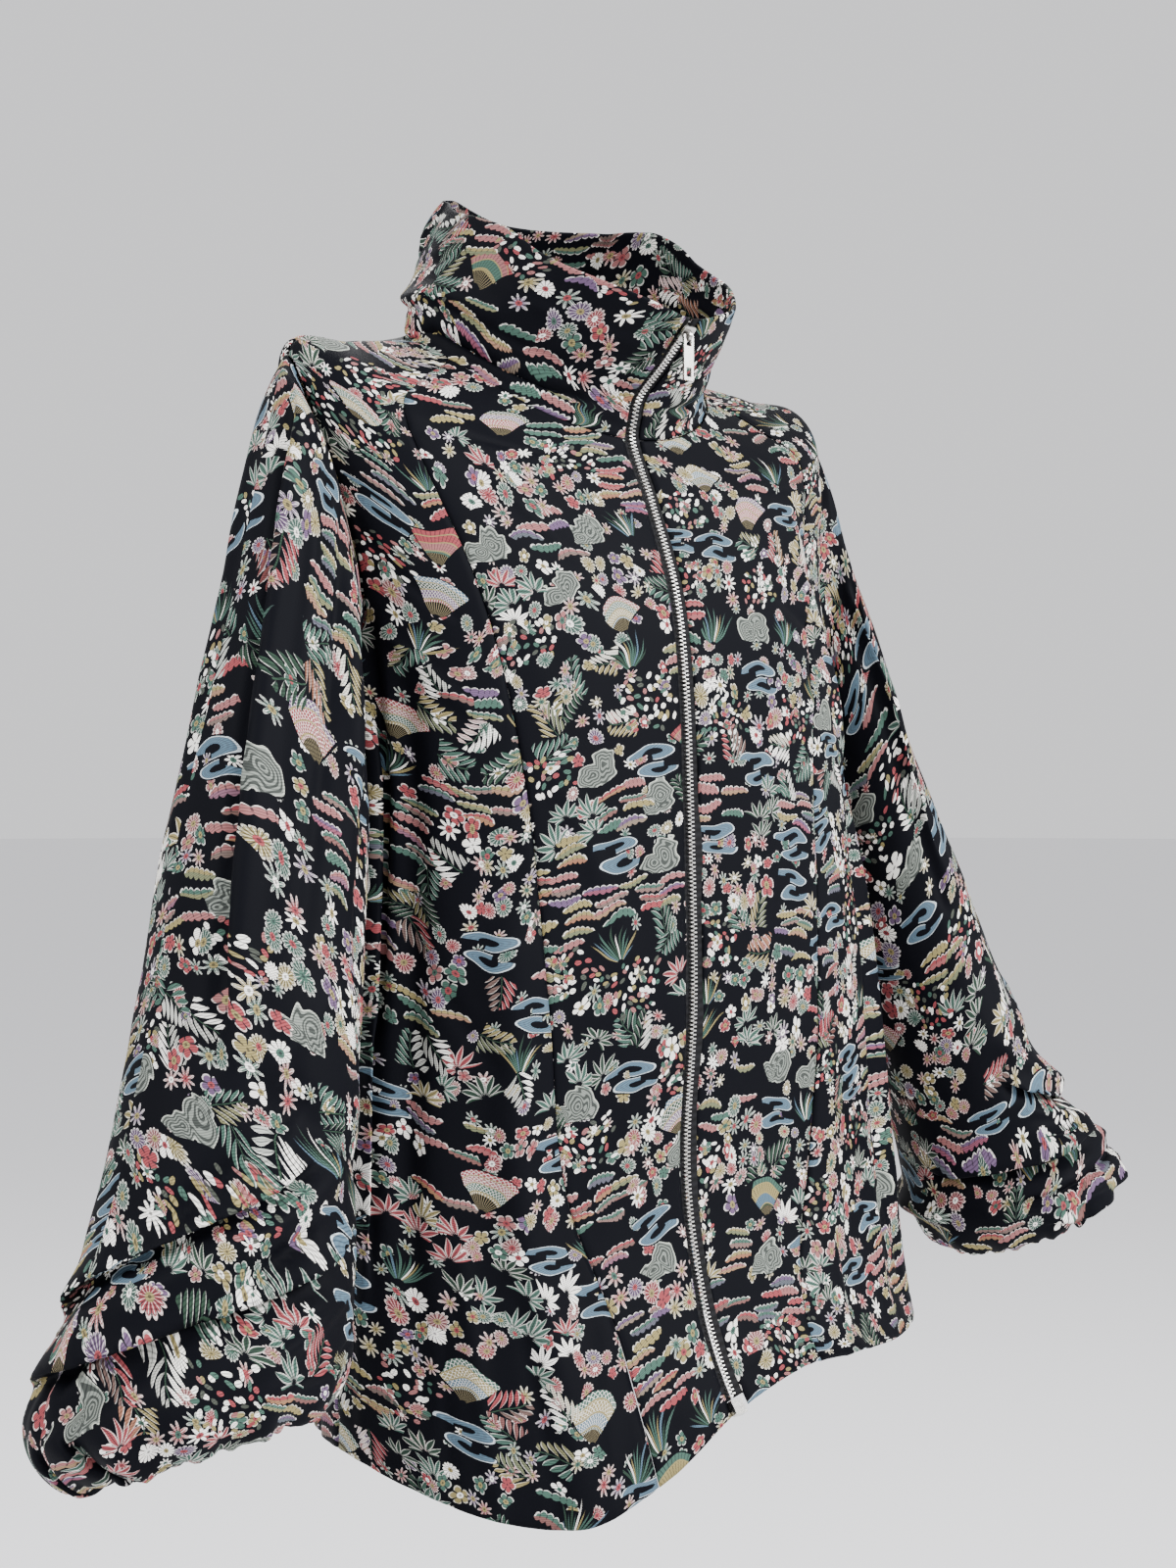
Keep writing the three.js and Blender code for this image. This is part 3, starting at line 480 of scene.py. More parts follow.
@dataclass(frozen=True)
class SleeveForm(Surface):
    """The surface of one sleeve. Turn 0 is outside, 90 in front, 180 inside and 270 behind."""

    side: str
    body: Body
    top = WRIST

    @property
    def mirror(self) -> int:
        """-1 on the wearer's right and 1 on the left."""
        return -1 if self.side == "right" else 1

    @property
    def outward(self) -> int:
        """The sign that turns the surface's normal outwards."""
        return -self.mirror

    def ring_point(self, at: Array, turn: Array) -> Array:
        """Places points on the sleeve's sections, without its folds."""
        row = sample_row(SLEEVE_SECTIONS[self.side], SLEEVE_COLUMNS, at)
        c, s = np.cos(np.radians(turn)), np.sin(np.radians(turn))
        x = (row["out_x"] + row["in_x"]) / 2 + c * (row["out_x"] - row["in_x"]) / 2
        z = (row["out_z"] + row["in_z"]) / 2 + c * (row["out_z"] - row["in_z"]) / 2
        return np.stack([self.mirror * x, row["y"] - s * row["deep"], z], axis=-1)

    def armhole_point(self, turn: Array) -> Array:
        """Places points on the edge of the armhole: turn 0 is its top and 90 its front."""
        a = np.radians(turn)
        angle = 90 - ARMHOLE_HALF_ANGLE * np.sin(a)
        edge = self.body.point(-self.mirror * angle, ARMHOLE_MIDDLE + ARMHOLE_HALF * np.cos(a))
        edge[..., 0] += self.mirror * ARMHOLE_GAP
        return edge

    def point(self, turn: Array, at: Array) -> Array:
        """Places points of the sleeve, in millimetres; at runs from 0 at the armhole to WRIST."""
        turn, at = np.broadcast_arrays(np.asarray(turn, float), np.asarray(at, float))
        point = self.ring_point(np.maximum(at, 1), turn)
        start = self.armhole_point(turn)
        leave, arrive = point - start, self.ring_point(np.full(at.shape, 2.0), turn) - point
        f = at[..., None]
        f2, f3 = f * f, f * f * f
        root = ((3 * f2 - 2 * f3) * point + (2 * f3 - 3 * f2 + 1) * start
                + (f3 - 2 * f2 + f) * leave + (f3 - f2) * arrive)
        point = np.where(f < 1, root, point)
        drop = sample(WRIST_DROP[self.side][:, 0], WRIST_DROP[self.side][:, 1], turn % 360)
        point[..., 2] -= drop * smooth_step((at - SLEEVE_DROP[0]) / SLEEVE_DROP[1])
        push = fold_height(SLEEVE_FOLDS[self.side], SLEEVE_STEP, turn, at)
        gathers = GATHERS["height"] * np.cos(np.radians(turn) * GATHERS["count"])
        push = (push * smooth_step(at / SLEEVE_FOLD_START)
                + gathers * smooth_step((at - GATHERS["start"]) / GATHERS["span"]))
        point[..., 0] += self.mirror * push * np.cos(np.radians(turn))
        point[..., 1] -= push * np.sin(np.radians(turn))
        return point

    def creases(self, turn: Array, at: Array) -> Array:
        """Returns how far the fine creases push the cloth out, in millimetres."""
        fine = fold_height(SLEEVE_CREASES[self.side], SLEEVE_STEP, turn, at)
        fine = fine * smooth_step(at / SLEEVE_FOLD_START)
        a = np.radians(turn)
        tucks = 1.3 * np.cos(29 * a + 1.5 * np.sin(3 * a)) + 0.8 * np.cos(47 * a + 2 * np.sin(2 * a))
        return fine + tucks * smooth_step((at - SLEEVE_END_TUCKS[0]) / SLEEVE_END_TUCKS[1])

    def laps(self, turn: Array, at: Array) -> Array:
        """Returns how the tucks move the cloth round, along the sleeve and out, in millimetres."""
        shift = tuck_shift(SLEEVE_TUCKS[self.side], SLEEVE_STEP, turn, at)
        return shift * smooth_step(at / SLEEVE_LAP_START)[..., None]


def colour(code: int) -> tuple[float, float, float, float]:
    """Turns an sRGB hex value into a linear colour with full alpha."""
    parts = [((code >> shift) & 0xFF) / 255 for shift in (16, 8, 0)]
    linear = [c / 12.92 if c <= 0.04045 else ((c + 0.055) / 1.055) ** 2.4 for c in parts]
    return (linear[0], linear[1], linear[2], 1.0)


def add_node(tree: bpy.types.NodeTree, kind: str, settings: dict | None = None,
             links: dict | None = None) -> bpy.types.Node:
    """Adds one node to a tree.

    Args:
        tree: the material's node tree.
        kind: the node's type.
        settings: attributes of the node.
        links: for each input, by name or number, a socket to link or a value to set.

    Returns:
        The node.
    """
    node = tree.nodes.new(kind)
    for name, value in (settings or {}).items():
        setattr(node, name, value)
    for key, value in (links or {}).items():
        socket = node.inputs[key]
        if isinstance(value, Value):
            value = value.socket
        if isinstance(value, bpy.types.NodeSocket):
            tree.links.new(value, socket)
        else:
            socket.default_value = value
    return node


class Value:
    """A number that varies over a surface. Arithmetic with it adds nodes to its material.

    A comparison gives 1 where it holds and 0 elsewhere, so multiplying two of them is a logical and.
    """

    def __init__(self, tree: bpy.types.NodeTree, socket: bpy.types.NodeSocket) -> None:
        """Keeps the tree and the socket that gives the number."""
        self.tree = tree
        self.socket = socket

    def then(self, operation: str, *others: "Value | float") -> "Value":
        """Returns the result of one mathematical operation on this value and others."""
        inputs = {k: other for k, other in enumerate((self, *others))}
        node = add_node(self.tree, "ShaderNodeMath", {"operation": operation}, inputs)
        return Value(self.tree, node.outputs[0])

    __add__ = partialmethod(then, "ADD")
    __sub__ = partialmethod(then, "SUBTRACT")
    __mul__ = partialmethod(then, "MULTIPLY")
    __truediv__ = partialmethod(then, "DIVIDE")
    __pow__ = partialmethod(then, "POWER")
    __abs__ = partialmethod(then, "ABSOLUTE")
    __lt__ = partialmethod(then, "LESS_THAN")
    __gt__ = partialmethod(then, "GREATER_THAN")

    def clamped(self) -> "Value":
        """Keeps the value between 0 and 1."""
        return self.then("MAXIMUM", 0.0).then("MINIMUM", 1.0)


@dataclass(frozen=True)
class Grid:
    """Where the motifs of one layer stand on the cloth.

    Args:
        width: spacing across, in millimetres.
        height: spacing up, in millimetres.
        shift: where the grid starts, in cells.
        lots: the range of districts that hold the motifs.
        swing: the largest turn of a motif either way, in radians.
        jitter: how uneven the grid is.
    """

    width: float
    height: float
    shift: tuple[float, float]
    lots: tuple[float, float] = (0.0, 1.0)
    swing: float = 0.0
    jitter: float = 0.5


@dataclass
class Place:
    """Where a point of the cloth lies in the motif next to it, in millimetres."""

    x: Value
    y: Value
    pick: Value
    tint: Value
    lot: Value

    def ring(self, width: float, height: float, shift: float = 0.0) -> Value:
        """Returns the distance from an ellipse's middle, as a share of its half sizes."""
        return ((abs(self.x) / width) ** 2.0 + (abs(self.y + shift) / height) ** 2.0) ** 0.5

    def away(self) -> Value:
        """Returns the distance from the motif's middle."""
        return (self.x ** 2.0 + self.y ** 2.0) ** 0.5

    def within(self, lots: tuple[float, float]) -> Value:
        """1 where the motif's district lies in a range, 0 elsewhere."""
        return (self.lot > lots[0]) * (self.lot < lots[1])


class Thread(IntEnum):
    """Colours of the figure's threads."""

    CORAL = 0x92464A
    PINK = 0x966463
    SAGE = 0x456156
    CREAM = 0x8F8359
    BLUE = 0x566E7E
    LAVENDER = 0x66526E
    WHITE = 0xFAF7F0
    MOSS = 0x2E4235
    STONE = 0x4A4E47


class Lots(Enum):
    """The districts that each kind of motif grows in, as ranges of a number from 0 to 1."""

    CLOUDS = (0.0, 0.19)
    FLOWERS = (0.19, 0.34)
    SMALL_FLOWERS = (0.34, 0.46)
    SPRAYS = (0.46, 0.54)
    FRONDS = (0.54, 0.62)
    BUDS = (0.62, 0.70)
    STREAMS = (0.70, 0.81)
    ROCKS = (0.81, 0.87)
    FANS = (0.87, 0.94)
    GRASS = (0.94, 1.0)


# Plain colours of the drawing, the period of a wave texture of scale 1, and the size and reach of the
# drawing's unevenness in millimetres
GROUND = 0x0A0B10
DARK_LINE = 0x26242A
WATER = 0x526472
FOAM = 0xC3CDD2
ROCK = 0x424643
LICHEN = 0x80867F
ROCK_EDGE = 0xB9BDB2
BAMBOO = 0x7B7156
WAVE_PERIOD = 0.05
WAVER_SIZE = 20
WAVER_REACH = 7.0
BLOSSOM_THREADS = (Thread.CORAL, Thread.WHITE, Thread.SAGE, Thread.CREAM, Thread.PINK, Thread.SAGE,
                   Thread.CORAL, Thread.LAVENDER)
CLOUD_THREADS = (Thread.CORAL, Thread.SAGE, Thread.CREAM, Thread.PINK, Thread.SAGE, Thread.PINK,
                 Thread.LAVENDER, Thread.CREAM)
LEAF_THREADS = (Thread.SAGE, Thread.MOSS, Thread.CREAM, Thread.SAGE, Thread.WHITE, Thread.CORAL,
                Thread.MOSS, Thread.SAGE)
BUD_THREADS = (Thread.WHITE, Thread.PINK, Thread.WHITE, Thread.SAGE, Thread.STONE, Thread.CORAL,
               Thread.WHITE, Thread.CREAM)
HEART_THREADS = (Thread.CREAM, Thread.CORAL, Thread.SAGE, Thread.CREAM, Thread.CORAL, Thread.CREAM,
                 Thread.WHITE, Thread.CREAM)
FAN_THREADS = (Thread.CORAL, Thread.LAVENDER, Thread.MOSS, Thread.BLUE, Thread.CREAM, Thread.SAGE,
               Thread.PINK, Thread.CORAL)
GRASS_THREADS = (Thread.SAGE, Thread.MOSS, Thread.SAGE, Thread.BLUE, Thread.MOSS, Thread.CREAM,
                 Thread.SAGE, Thread.WHITE)


class Figure:
    """Draws the woven figure of the silk over a plain ground, in layers of motifs.

    The cloth is shared out into districts, and every motif belongs to the district that its middle lies in.
    The numbers in each motif's method are its proportions, mostly in millimetres of cloth.
    """

    def __init__(self, tree: bpy.types.NodeTree, ground: int, district: Grid) -> None:
        """Starts with the bare ground.

        Args:
            tree: the material's node tree.
            ground: sRGB hex value of the ground.
            district: the grid of districts.
        """
        self.tree = tree
        self.district = district
        self.flat = self.vector("MULTIPLY", add_node(tree, "ShaderNodeTexCoord").outputs["UV"], (1 / MM,) * 3)
        waver = add_node(tree, "ShaderNodeTexNoise", {"noise_dimensions": "2D"},
                         {"Vector": self.flat, "Scale": 1 / WAVER_SIZE, "Detail": 0.0})
        self.waver = Value(tree, waver.outputs["Fac"])
        centred = self.vector("SUBTRACT", waver.outputs["Color"], (0.5, 0.5, 0.5))
        self.cloth = self.vector("MULTIPLY_ADD", centred, (WAVER_REACH, WAVER_REACH, 0.0), self.flat)
        self.result = add_node(tree, "ShaderNodeRGB").outputs[0]
        self.result.default_value = colour(ground)

    def vector(self, operation: str, *inputs: Socket | tuple[float, float, float]) -> Socket:
        """Returns the result of one operation on vectors."""
        node = add_node(self.tree, "ShaderNodeVectorMath", {"operation": operation}, dict(enumerate(inputs)))
        return node.outputs[0]

    def split(self, kind: str, socket: Socket) -> list[Value]:
        """Returns the three numbers of a vector (kind XYZ) or a colour (kind Color)."""
        node = add_node(self.tree, "ShaderNodeSeparate" + kind, {}, {0: socket})
        return [Value(self.tree, output) for output in node.outputs]

    def nearest(self, vector: Socket, grid: Grid) -> tuple[Socket, Socket]:
        """Finds the nearest middle of an uneven grid.

        Args:
            vector: a place on the cloth, in millimetres.
            grid: the grid.

        Returns:
            The way from that middle to the place in millimetres, and the random colour of its cell.
        """
        cells = self.vector("MULTIPLY_ADD", vector, (1 / grid.width, 1 / grid.height, 0.0),
                            (*grid.shift, 0.0))
        near = add_node(self.tree, "ShaderNodeTexVoronoi", {"voronoi_dimensions": "2D"},
                        {"Vector": cells, "Scale": 1.0, "Randomness": grid.jitter})
        away = self.vector("SUBTRACT", cells, near.outputs["Position"])
        return self.vector("MULTIPLY", away, (grid.width, grid.height, 0.0)), near.outputs["Color"]

    def place(self, grid: Grid) -> Place:
        """Lays out one motif in each cell of a grid and returns the place in the nearest one."""
        sized, luck = self.nearest(self.cloth, grid)
        pick, tint, fate = self.split("Color", luck)
        spun = add_node(self.tree, "ShaderNodeVectorRotate", {"rotation_type": "Z_AXIS"},
                        {"Vector": sized, "Angle": (fate - 0.5) * (2 * grid.swing)})
        x, y, _ = self.split("XYZ", spun.outputs[0])
        middle = self.vector("SUBTRACT", self.cloth, sized)
        lot, _, _ = self.split("Color", self.nearest(middle, self.district)[1])
        return Place(x, y, pick, tint, lot)

    def threads(self, choice: Value, threads: Sequence[Thread]) -> Socket:
        """Chooses a thread for each value from 0 to 1, in even steps."""
        ramp = add_node(self.tree, "ShaderNodeValToRGB", {}, {0: choice})
        ramp.color_ramp.interpolation = "CONSTANT"
        stops = ramp.color_ramp.elements
        while len(stops) < len(threads):
            stops.new(0.5)
        for k, thread in enumerate(threads):
            stops[k].position = k / len(threads)
            stops[k].color = colour(thread)
        return ramp.outputs[0]

    def lay(self, mask: Value, over: Socket | int) -> None:
        """Lays a colour over what is drawn so far, where the mask is 1; a number is an sRGB hex value."""
        over = colour(over) if isinstance(over, int) else over
        mix = add_node(self.tree, "ShaderNodeMix", {"data_type": "RGBA"}, {0: mask, 6: self.result, 7: over})
        self.result = mix.outputs[2]

    def wefts(self, pitch: float, depth: float) -> None:
        """Darkens everything drawn so far between the threads that draw it.

        Args:
            pitch: millimetres from thread to thread.
            depth: how dark it is between them, from 0 to 1.
        """
        x, y, _ = self.split("XYZ", self.flat)
        between = ((x * 0.35 + y + self.waver * 6.0) / pitch).then("FRACT") < 0.36
        self.lay(between * depth, GROUND)

    def clouds(self, grid: Grid) -> None:
        """Long pine clouds with scalloped backs, as wide and as high as their grid allows."""
        at = self.place(grid)
        bend = (at.x / 8.0) ** 2.0 * 1.1 * (at.tint - 0.3) * 2.0
        rise = at.y + bend
        ribs = abs((at.x * (math.pi / 3.8)).then("SINE"))
        half = ribs * 1.2 + grid.height * 0.21
        shape = (abs(at.x) / (grid.width * 0.46)) ** 4.0 + (abs(rise) / half) ** 2.0
        shown = (shape < 1.0) * at.within(grid.lots) * (at.tint < 0.92)
        self.lay(shown, self.threads(at.pick, CLOUD_THREADS))
        self.lay(shown * (rise < 0.0) * 0.55, self.threads((at.pick * 3.7).then("FRACT"), CLOUD_THREADS))
        self.lay(shown * (rise > 0.0) * (shape > 0.64) * 0.7, Thread.WHITE)
        self.lay(shown * (ribs < 0.26) * (rise > -grid.height * 0.08) * 0.7, DARK_LINE)

    def blossoms(self, grid: Grid, radius: float, share: float = 0.92) -> None:
        """Plum blossoms, maple stars and daisies, with hearts of another thread.

        Args:
            grid: where they stand.
            radius: half their size, in millimetres.
            share: how many of the places hold one.
        """
        at = self.place(grid)
        star, daisy = at.pick > 0.34, at.pick > 0.7
        angle = at.y.then("ARCTAN2", at.x)
        wave = abs((angle * (star * 1.5 + daisy * 2.5 + 2.5)).then("COSINE"))
        inner = star * -0.14 + daisy * 0.34 + 0.44
        petals = wave ** (star * 1.3 - daisy * 1.2 + 0.5) * (inner * -1.0 + 1.0) + inner
        edge = at.ring(1.0, 1.0) / radius
        shown = (edge < petals) * (at.tint < share) * at.within(grid.lots)
        outside = shown * (edge > 0.3)
        self.lay(shown, self.threads((at.tint * 7.31).then("FRACT"), BLOSSOM_THREADS))
        self.lay(shown * (edge > petals * 0.86) * 0.55, Thread.WHITE)
        self.lay(outside * (wave < 0.32) * 0.95, DARK_LINE)
        self.lay(outside * (wave > 0.975) * (edge < 0.8) * star * 0.6, Thread.WHITE)
        self.lay(shown * (edge < 0.3), self.threads((at.tint * 13.7).then("FRACT"), HEART_THREADS))
        self.lay(shown * (edge < 0.12) * 0.7, DARK_LINE)

    def fronds(self, grid: Grid, pitch: float) -> None:
        """Feathered twigs: pairs of narrow leaves along a stem, so many millimetres from leaf to leaf."""
        at = self.place(grid)
        aside = abs(at.y)
        reach = at.x * -0.3 + pitch * 1.9
        along = ((at.x - aside * 1.1) / pitch).then("FRACT") - 0.5
        swell = (((aside - 0.3) / reach).clamped() * math.pi).then("SINE")
        shown = (abs(along) < swell * 0.38) * (abs(at.x) < grid.width * 0.44) * at.within(grid.lots)
        self.lay(shown, self.threads(at.pick, LEAF_THREADS))
        self.lay(shown * (at.y > 0.0) * 0.6, self.threads((at.pick * 5.3).then("FRACT"), LEAF_THREADS))
        self.lay(shown * (along > swell * 0.27) * 0.5, Thread.WHITE)
        self.lay(shown * (abs(along) < 0.035) * 0.8, DARK_LINE)
        self.lay((aside < 0.28) * (abs(at.x + 1.5) < grid.width * 0.42) * at.within(grid.lots), Thread.MOSS)

    def sprays(self, grid: Grid, reach: float) -> None:
        """Fans of long pointed leaves, so many millimetres long."""
        at = self.place(grid)
        at = replace(at, y=at.y + reach * 0.35)
        away = at.ring(1.0, 1.0)
        angle = at.x.then("ARCTAN2", at.y)
        step = 2 * math.pi / 11
        folded = ((angle / step + 0.5).then("FRACT") - 0.5) * step
        aside = abs(away * folded.then("SINE"))
        full = (((away - reach * 0.1) / (reach * 0.9)).clamped() * math.pi).then("SINE") * 1.5
        shown = (aside < full) * (abs(angle) < 1.7) * at.within(grid.lots)
        self.lay(shown, self.threads(at.pick, LEAF_THREADS))
        self.lay(shown * (aside > full * 0.68) * 0.5, Thread.WHITE)
        self.lay(shown * (aside < 0.16) * 0.8, DARK_LINE)

    def buds(self, grid: Grid, length: float) -> None:
        """Clusters of small oval buds, half as long as so many millimetres."""
        at = self.place(grid)
        shown = (at.ring(length, length * 0.62) < 1.0) * at.within(grid.lots)
        self.lay(shown, self.threads(at.pick, BUD_THREADS))
        self.lay(shown * (abs(at.y) < 0.14) * 0.5, DARK_LINE)

    def large_motifs(self) -> None:
        """Streams, rocks, folding fans and tufts of grass, one in the middle of each district of theirs."""
        sized, luck = self.nearest(self.cloth, self.district)
        x, y, _ = self.split("XYZ", sized)
        lot, pick, tint = self.split("Color", luck)
        at = Place(x, y, pick, tint, lot)
        for draw, lots in ((self.streams, Lots.STREAMS), (self.rocks, Lots.ROCKS), (self.fans, Lots.FANS),
                           (self.tufts, Lots.GRASS)):
            draw(at, at.within(lots.value))

    def streams(self, at: Place, here: Value) -> None:
        """Eddies of water drawn with nested lines."""
        upper = at.ring(17.0, 4.4, -4.6) + (at.x > 1.0) * (at.y < 4.0) * 9.0
        lower = replace(at, x=at.x + 4.0).ring(15.5, 4.2, 5.0) + (at.x < -6.0) * (at.y > -4.4) * 9.0
        near = upper.then("MINIMUM", lower)
        band = (near < 1.0) * (near > 0.42) * here
        self.lay((near < 1.15) * here, GROUND)
        self.lay(band, WATER)
        self.lay(band * ((near * 5.4).then("FRACT") < 0.5), Thread.BLUE)
        self.lay(band * (near > 0.92), FOAM)

    def rocks(self, at: Place, here: Value) -> None:
        """Mossy rocks drawn with uneven contour lines."""
        wobble = (self.waver * 26.0).then("SINE") * 0.1
        tall = replace(at, x=at.x + 3.0).ring(9.5, 10.5, 0.5) + wobble
        low = replace(at, x=at.x - 7.0).ring(9.5, 6.5, 4.0) + wobble
        near = tall.then("MINIMUM", low)
        shown = (near < 1.0) * (at.y > -9.5) * here
        self.lay((near < 1.1) * (at.y > -10.0) * here, GROUND)
        self.lay(shown, ROCK)
        self.lay(shown * ((near * 4.7).then("FRACT") < 0.5), LICHEN)
        self.lay(shown * (near > 0.93), ROCK_EDGE)

    def fans(self, at: Place, here: Value) -> None:
        """Open folding fans: some with a lattice, some with bands, all with ribs."""
        base = replace(at, y=at.y + 12.5)
        away, angle = base.away(), base.x.then("ARCTAN2", base.y)
        leaf = (abs(angle) < 0.8) * (away < 24.0) * (away > 2.5) * here
        paper = leaf * (away > 9.0)
        folds = (angle * 8.0).then("FRACT")
        band = (away * 0.2).then("FLOOR")
        lattice = (((angle * 8.0 + away * 0.42).then("FRACT") < 0.16)
                   + ((angle * 8.0 - away * 0.42).then("FRACT") < 0.16)).then("MINIMUM", 1.0)
        self.lay((abs(angle) < 0.86) * (away < 24.8) * here, GROUND)
        self.lay(leaf * (folds < 0.35), BAMBOO)
        self.lay(paper, self.threads((at.tint * 5.3 + band * 0.125).then("FRACT"), FAN_THREADS))
        self.lay(paper * (at.pick < 0.7) * lattice * 0.8, Thread.WHITE)
        self.lay(paper * (at.pick > 0.7) * (folds < 0.2) * 0.7, DARK_LINE)
        self.lay(paper * ((away * 0.2).then("FRACT") < 0.14), Thread.CREAM)

    def tufts(self, at: Place, here: Value) -> None:
        """Tufts of upright grass blades."""
        base = replace(at, y=at.y + 12.0)
        away, angle = base.away(), base.x.then("ARCTAN2", base.y)
        blade = (angle * 6.5).then("FRACT") - 0.5
        count = (angle * 6.5).then("FLOOR")
        tall = (count * 2.7 + at.tint * 9.0).then("SINE") * 4.0 + 19.0
        full = (away / tall) ** 2.0 * -0.42 + 0.44
        shown = (abs(blade) < full) * (abs(angle) < 0.92) * (away > 3.0) * here
        self.lay((away < 17.0) * (abs(angle) < 0.8) * here, GROUND)
        self.lay(shown, self.threads((at.tint + count * 0.3).then("FRACT"), GRASS_THREADS))
        self.lay(shown * (abs(blade) < 0.06) * 0.7, DARK_LINE)


def new_material(name: str) -> tuple[bpy.types.Material, bpy.types.NodeTree, bpy.types.Node]:
    """Makes a material and returns it, its node tree and its shader."""
    material = bpy.data.materials.new(name)
    material.use_nodes = True
    return material, material.node_tree, material.node_tree.nodes["Principled BSDF"]


def finish_fabric(tree: bpy.types.NodeTree, shader: bpy.types.Node, tone: Socket, relief: Socket,
                  strength: float, depth: float, roughness: float, specular: float) -> None:
    """Links a fabric's colour and relief to its shader.

    Args:
        tree: the material's node tree.
        shader: its shader.
        tone: the colour.
        relief: the height of the weave, from 0 to 1.
        strength: how strongly the relief shows.
        depth: depth of the relief, in millimetres.
        roughness: the shader's roughness.
        specular: the shader's specular level.
    """
    bump = add_node(tree, "ShaderNodeBump", {},
                    {"Height": relief, "Strength": strength, "Distance": depth * MM})
    tree.links.new(tone, shader.inputs["Base Color"])
    tree.links.new(bump.outputs[0], shader.inputs["Normal"])
    shader.inputs["Roughness"].default_value = roughness
    shader.inputs["Specular IOR Level"].default_value = specular


@dataclass(frozen=True)
class FiguredSilk:
    """Figured kimono silk: a black satin ground with a dense figure in soft colours and a low sheen."""

    name: str = "figured_kimono_silk"
    ground: int = GROUND
    roughness: float = 0.62
    specular: float = 0.035
    weave_mm: float = 0.9
    district: Grid = Grid(36.0, 27.0, (0.5, 0.5))

    def build(self) -> bpy.types.Material:
        """Makes the material; each line of the figure gives a grid, then sizes in millimetres."""
        material, tree, shader = new_material(self.name)
        figure = Figure(tree, self.ground, self.district)
        figure.blossoms(Grid(10.0, 10.0, (3.3, 5.7), (Lots.SPRAYS.value[0], 1.0), math.pi, 0.75), 4.4, 0.4)
        figure.large_motifs()
        figure.clouds(Grid(24.0, 6.6, (0.3, 0.6), Lots.CLOUDS.value, 0.1, 0.7))
        figure.sprays(Grid(18.0, 15.3, (2.7, 1.9), Lots.SPRAYS.value, 0.9, 0.7), 12.5)
        figure.fronds(Grid(24.0, 19.0, (4.1, 6.3), Lots.FRONDS.value, math.pi, 0.7), 4.6)
        figure.buds(Grid(5.0, 4.5, (4.4, 0.2), Lots.BUDS.value, 1.2, 0.85), 2.0)
        figure.blossoms(Grid(11.6, 11.6, (7.2, 4.8), Lots.FLOWERS.value, math.pi, 0.75), 6.1)
        figure.blossoms(Grid(9.2, 9.2, (1.6, 8.3), Lots.SMALL_FLOWERS.value, math.pi, 0.75), 4.7)
        figure.wefts(1.1, 0.45)
        weave = add_node(tree, "ShaderNodeTexNoise", {"noise_dimensions": "2D"},
                         {"Vector": figure.flat, "Scale": 1 / self.weave_mm, "Detail": 2.0})
        finish_fabric(tree, shader, figure.result, weave.outputs[0], 0.25, 0.3, self.roughness, self.specular)
        return material


@dataclass(frozen=True)
class ZipTape:
    """Woven polyester tape, dyed black: fine ribs across its width with a painted highlight on their crests and
    painted shade in the grooves, and a matte face.
    """

    name: str = "woven_polyester_tape"
    base: int = 0x0A0A0C
    # The lighter colour of the rib crests, a painted highlight on the raised ribs
    rib_crest_highlight: int = 0x17171A
    rib_mm: float = 0.8
    roughness: float = 0.8
    specular: float = 0.15

    def build(self) -> bpy.types.Material:
        """Makes the material."""
        material, tree, shader = new_material(self.name)
        cloth = add_node(tree, "ShaderNodeTexCoord")
        ribs = add_node(tree, "ShaderNodeTexWave", {"bands_direction": "Y"},
                        {"Vector": cloth.outputs["UV"], "Scale": WAVE_PERIOD / (self.rib_mm * MM),
                         "Distortion": 0.6})
        ribs = ribs.outputs["Fac"]
        # The same wave gives the bump, so the raised crests take the lighter colour and the grooves the dark
        # base: painted highlight and painted shade
        tone = add_node(tree, "ShaderNodeMix", {"data_type": "RGBA"},
                        {0: ribs, 6: colour(self.base), 7: colour(self.rib_crest_highlight)})
        finish_fabric(tree, shader, tone.outputs[2], ribs, 0.4, 0.2, self.roughness, self.specular)
        return material


@dataclass(frozen=True)
class NickelPlate:
    """Nickel plate over a die-cast or stamped metal: a bright warm grey with fine polishing marks."""

    name: str
    base: int
    roughness: float

    def build(self) -> bpy.types.Material:
        """Makes the material."""
        material, tree, shader = new_material(self.name)
        place = add_node(tree, "ShaderNodeTexCoord")
        marks = add_node(tree, "ShaderNodeTexNoise", {},
                         {"Vector": place.outputs["Object"], "Scale": 900.0, "Detail": 3.0})
        rough = add_node(tree, "ShaderNodeMapRange", {},
                         {"Value": marks.outputs[0], "To Min": self.roughness - 0.06,
                          "To Max": self.roughness + 0.14})
        tree.links.new(rough.outputs[0], shader.inputs["Roughness"])
        shader.inputs["Base Color"].default_value = colour(self.base)
        shader.inputs["Metallic"].default_value = 1.0
        return material


def add_object(name: str, data: bpy.types.ID) -> bpy.types.Object:
    """Puts a mesh, a light or a camera into the scene as an object."""
    made = bpy.data.objects.new(name, data)
    bpy.context.scene.collection.objects.link(made)
    return made


def add_mesh(name: str, bm: bmesh.types.BMesh, material: bpy.types.Material) -> bpy.types.Object:
    """Puts a finished bmesh into the scene as an object of one material."""
    mesh = bpy.data.meshes.new(name)
    bm.to_mesh(mesh)
    bm.free()
    mesh.materials.append(material)
    return add_object(name, mesh)


def tie(piece: bpy.types.Object, node: str) -> None:
    """Ties a still piece to the frame, in place of one solid."""
    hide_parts(node)
    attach(piece, "garment")
    log.info("%s: %d faces", piece.name, len(piece.data.polygons))


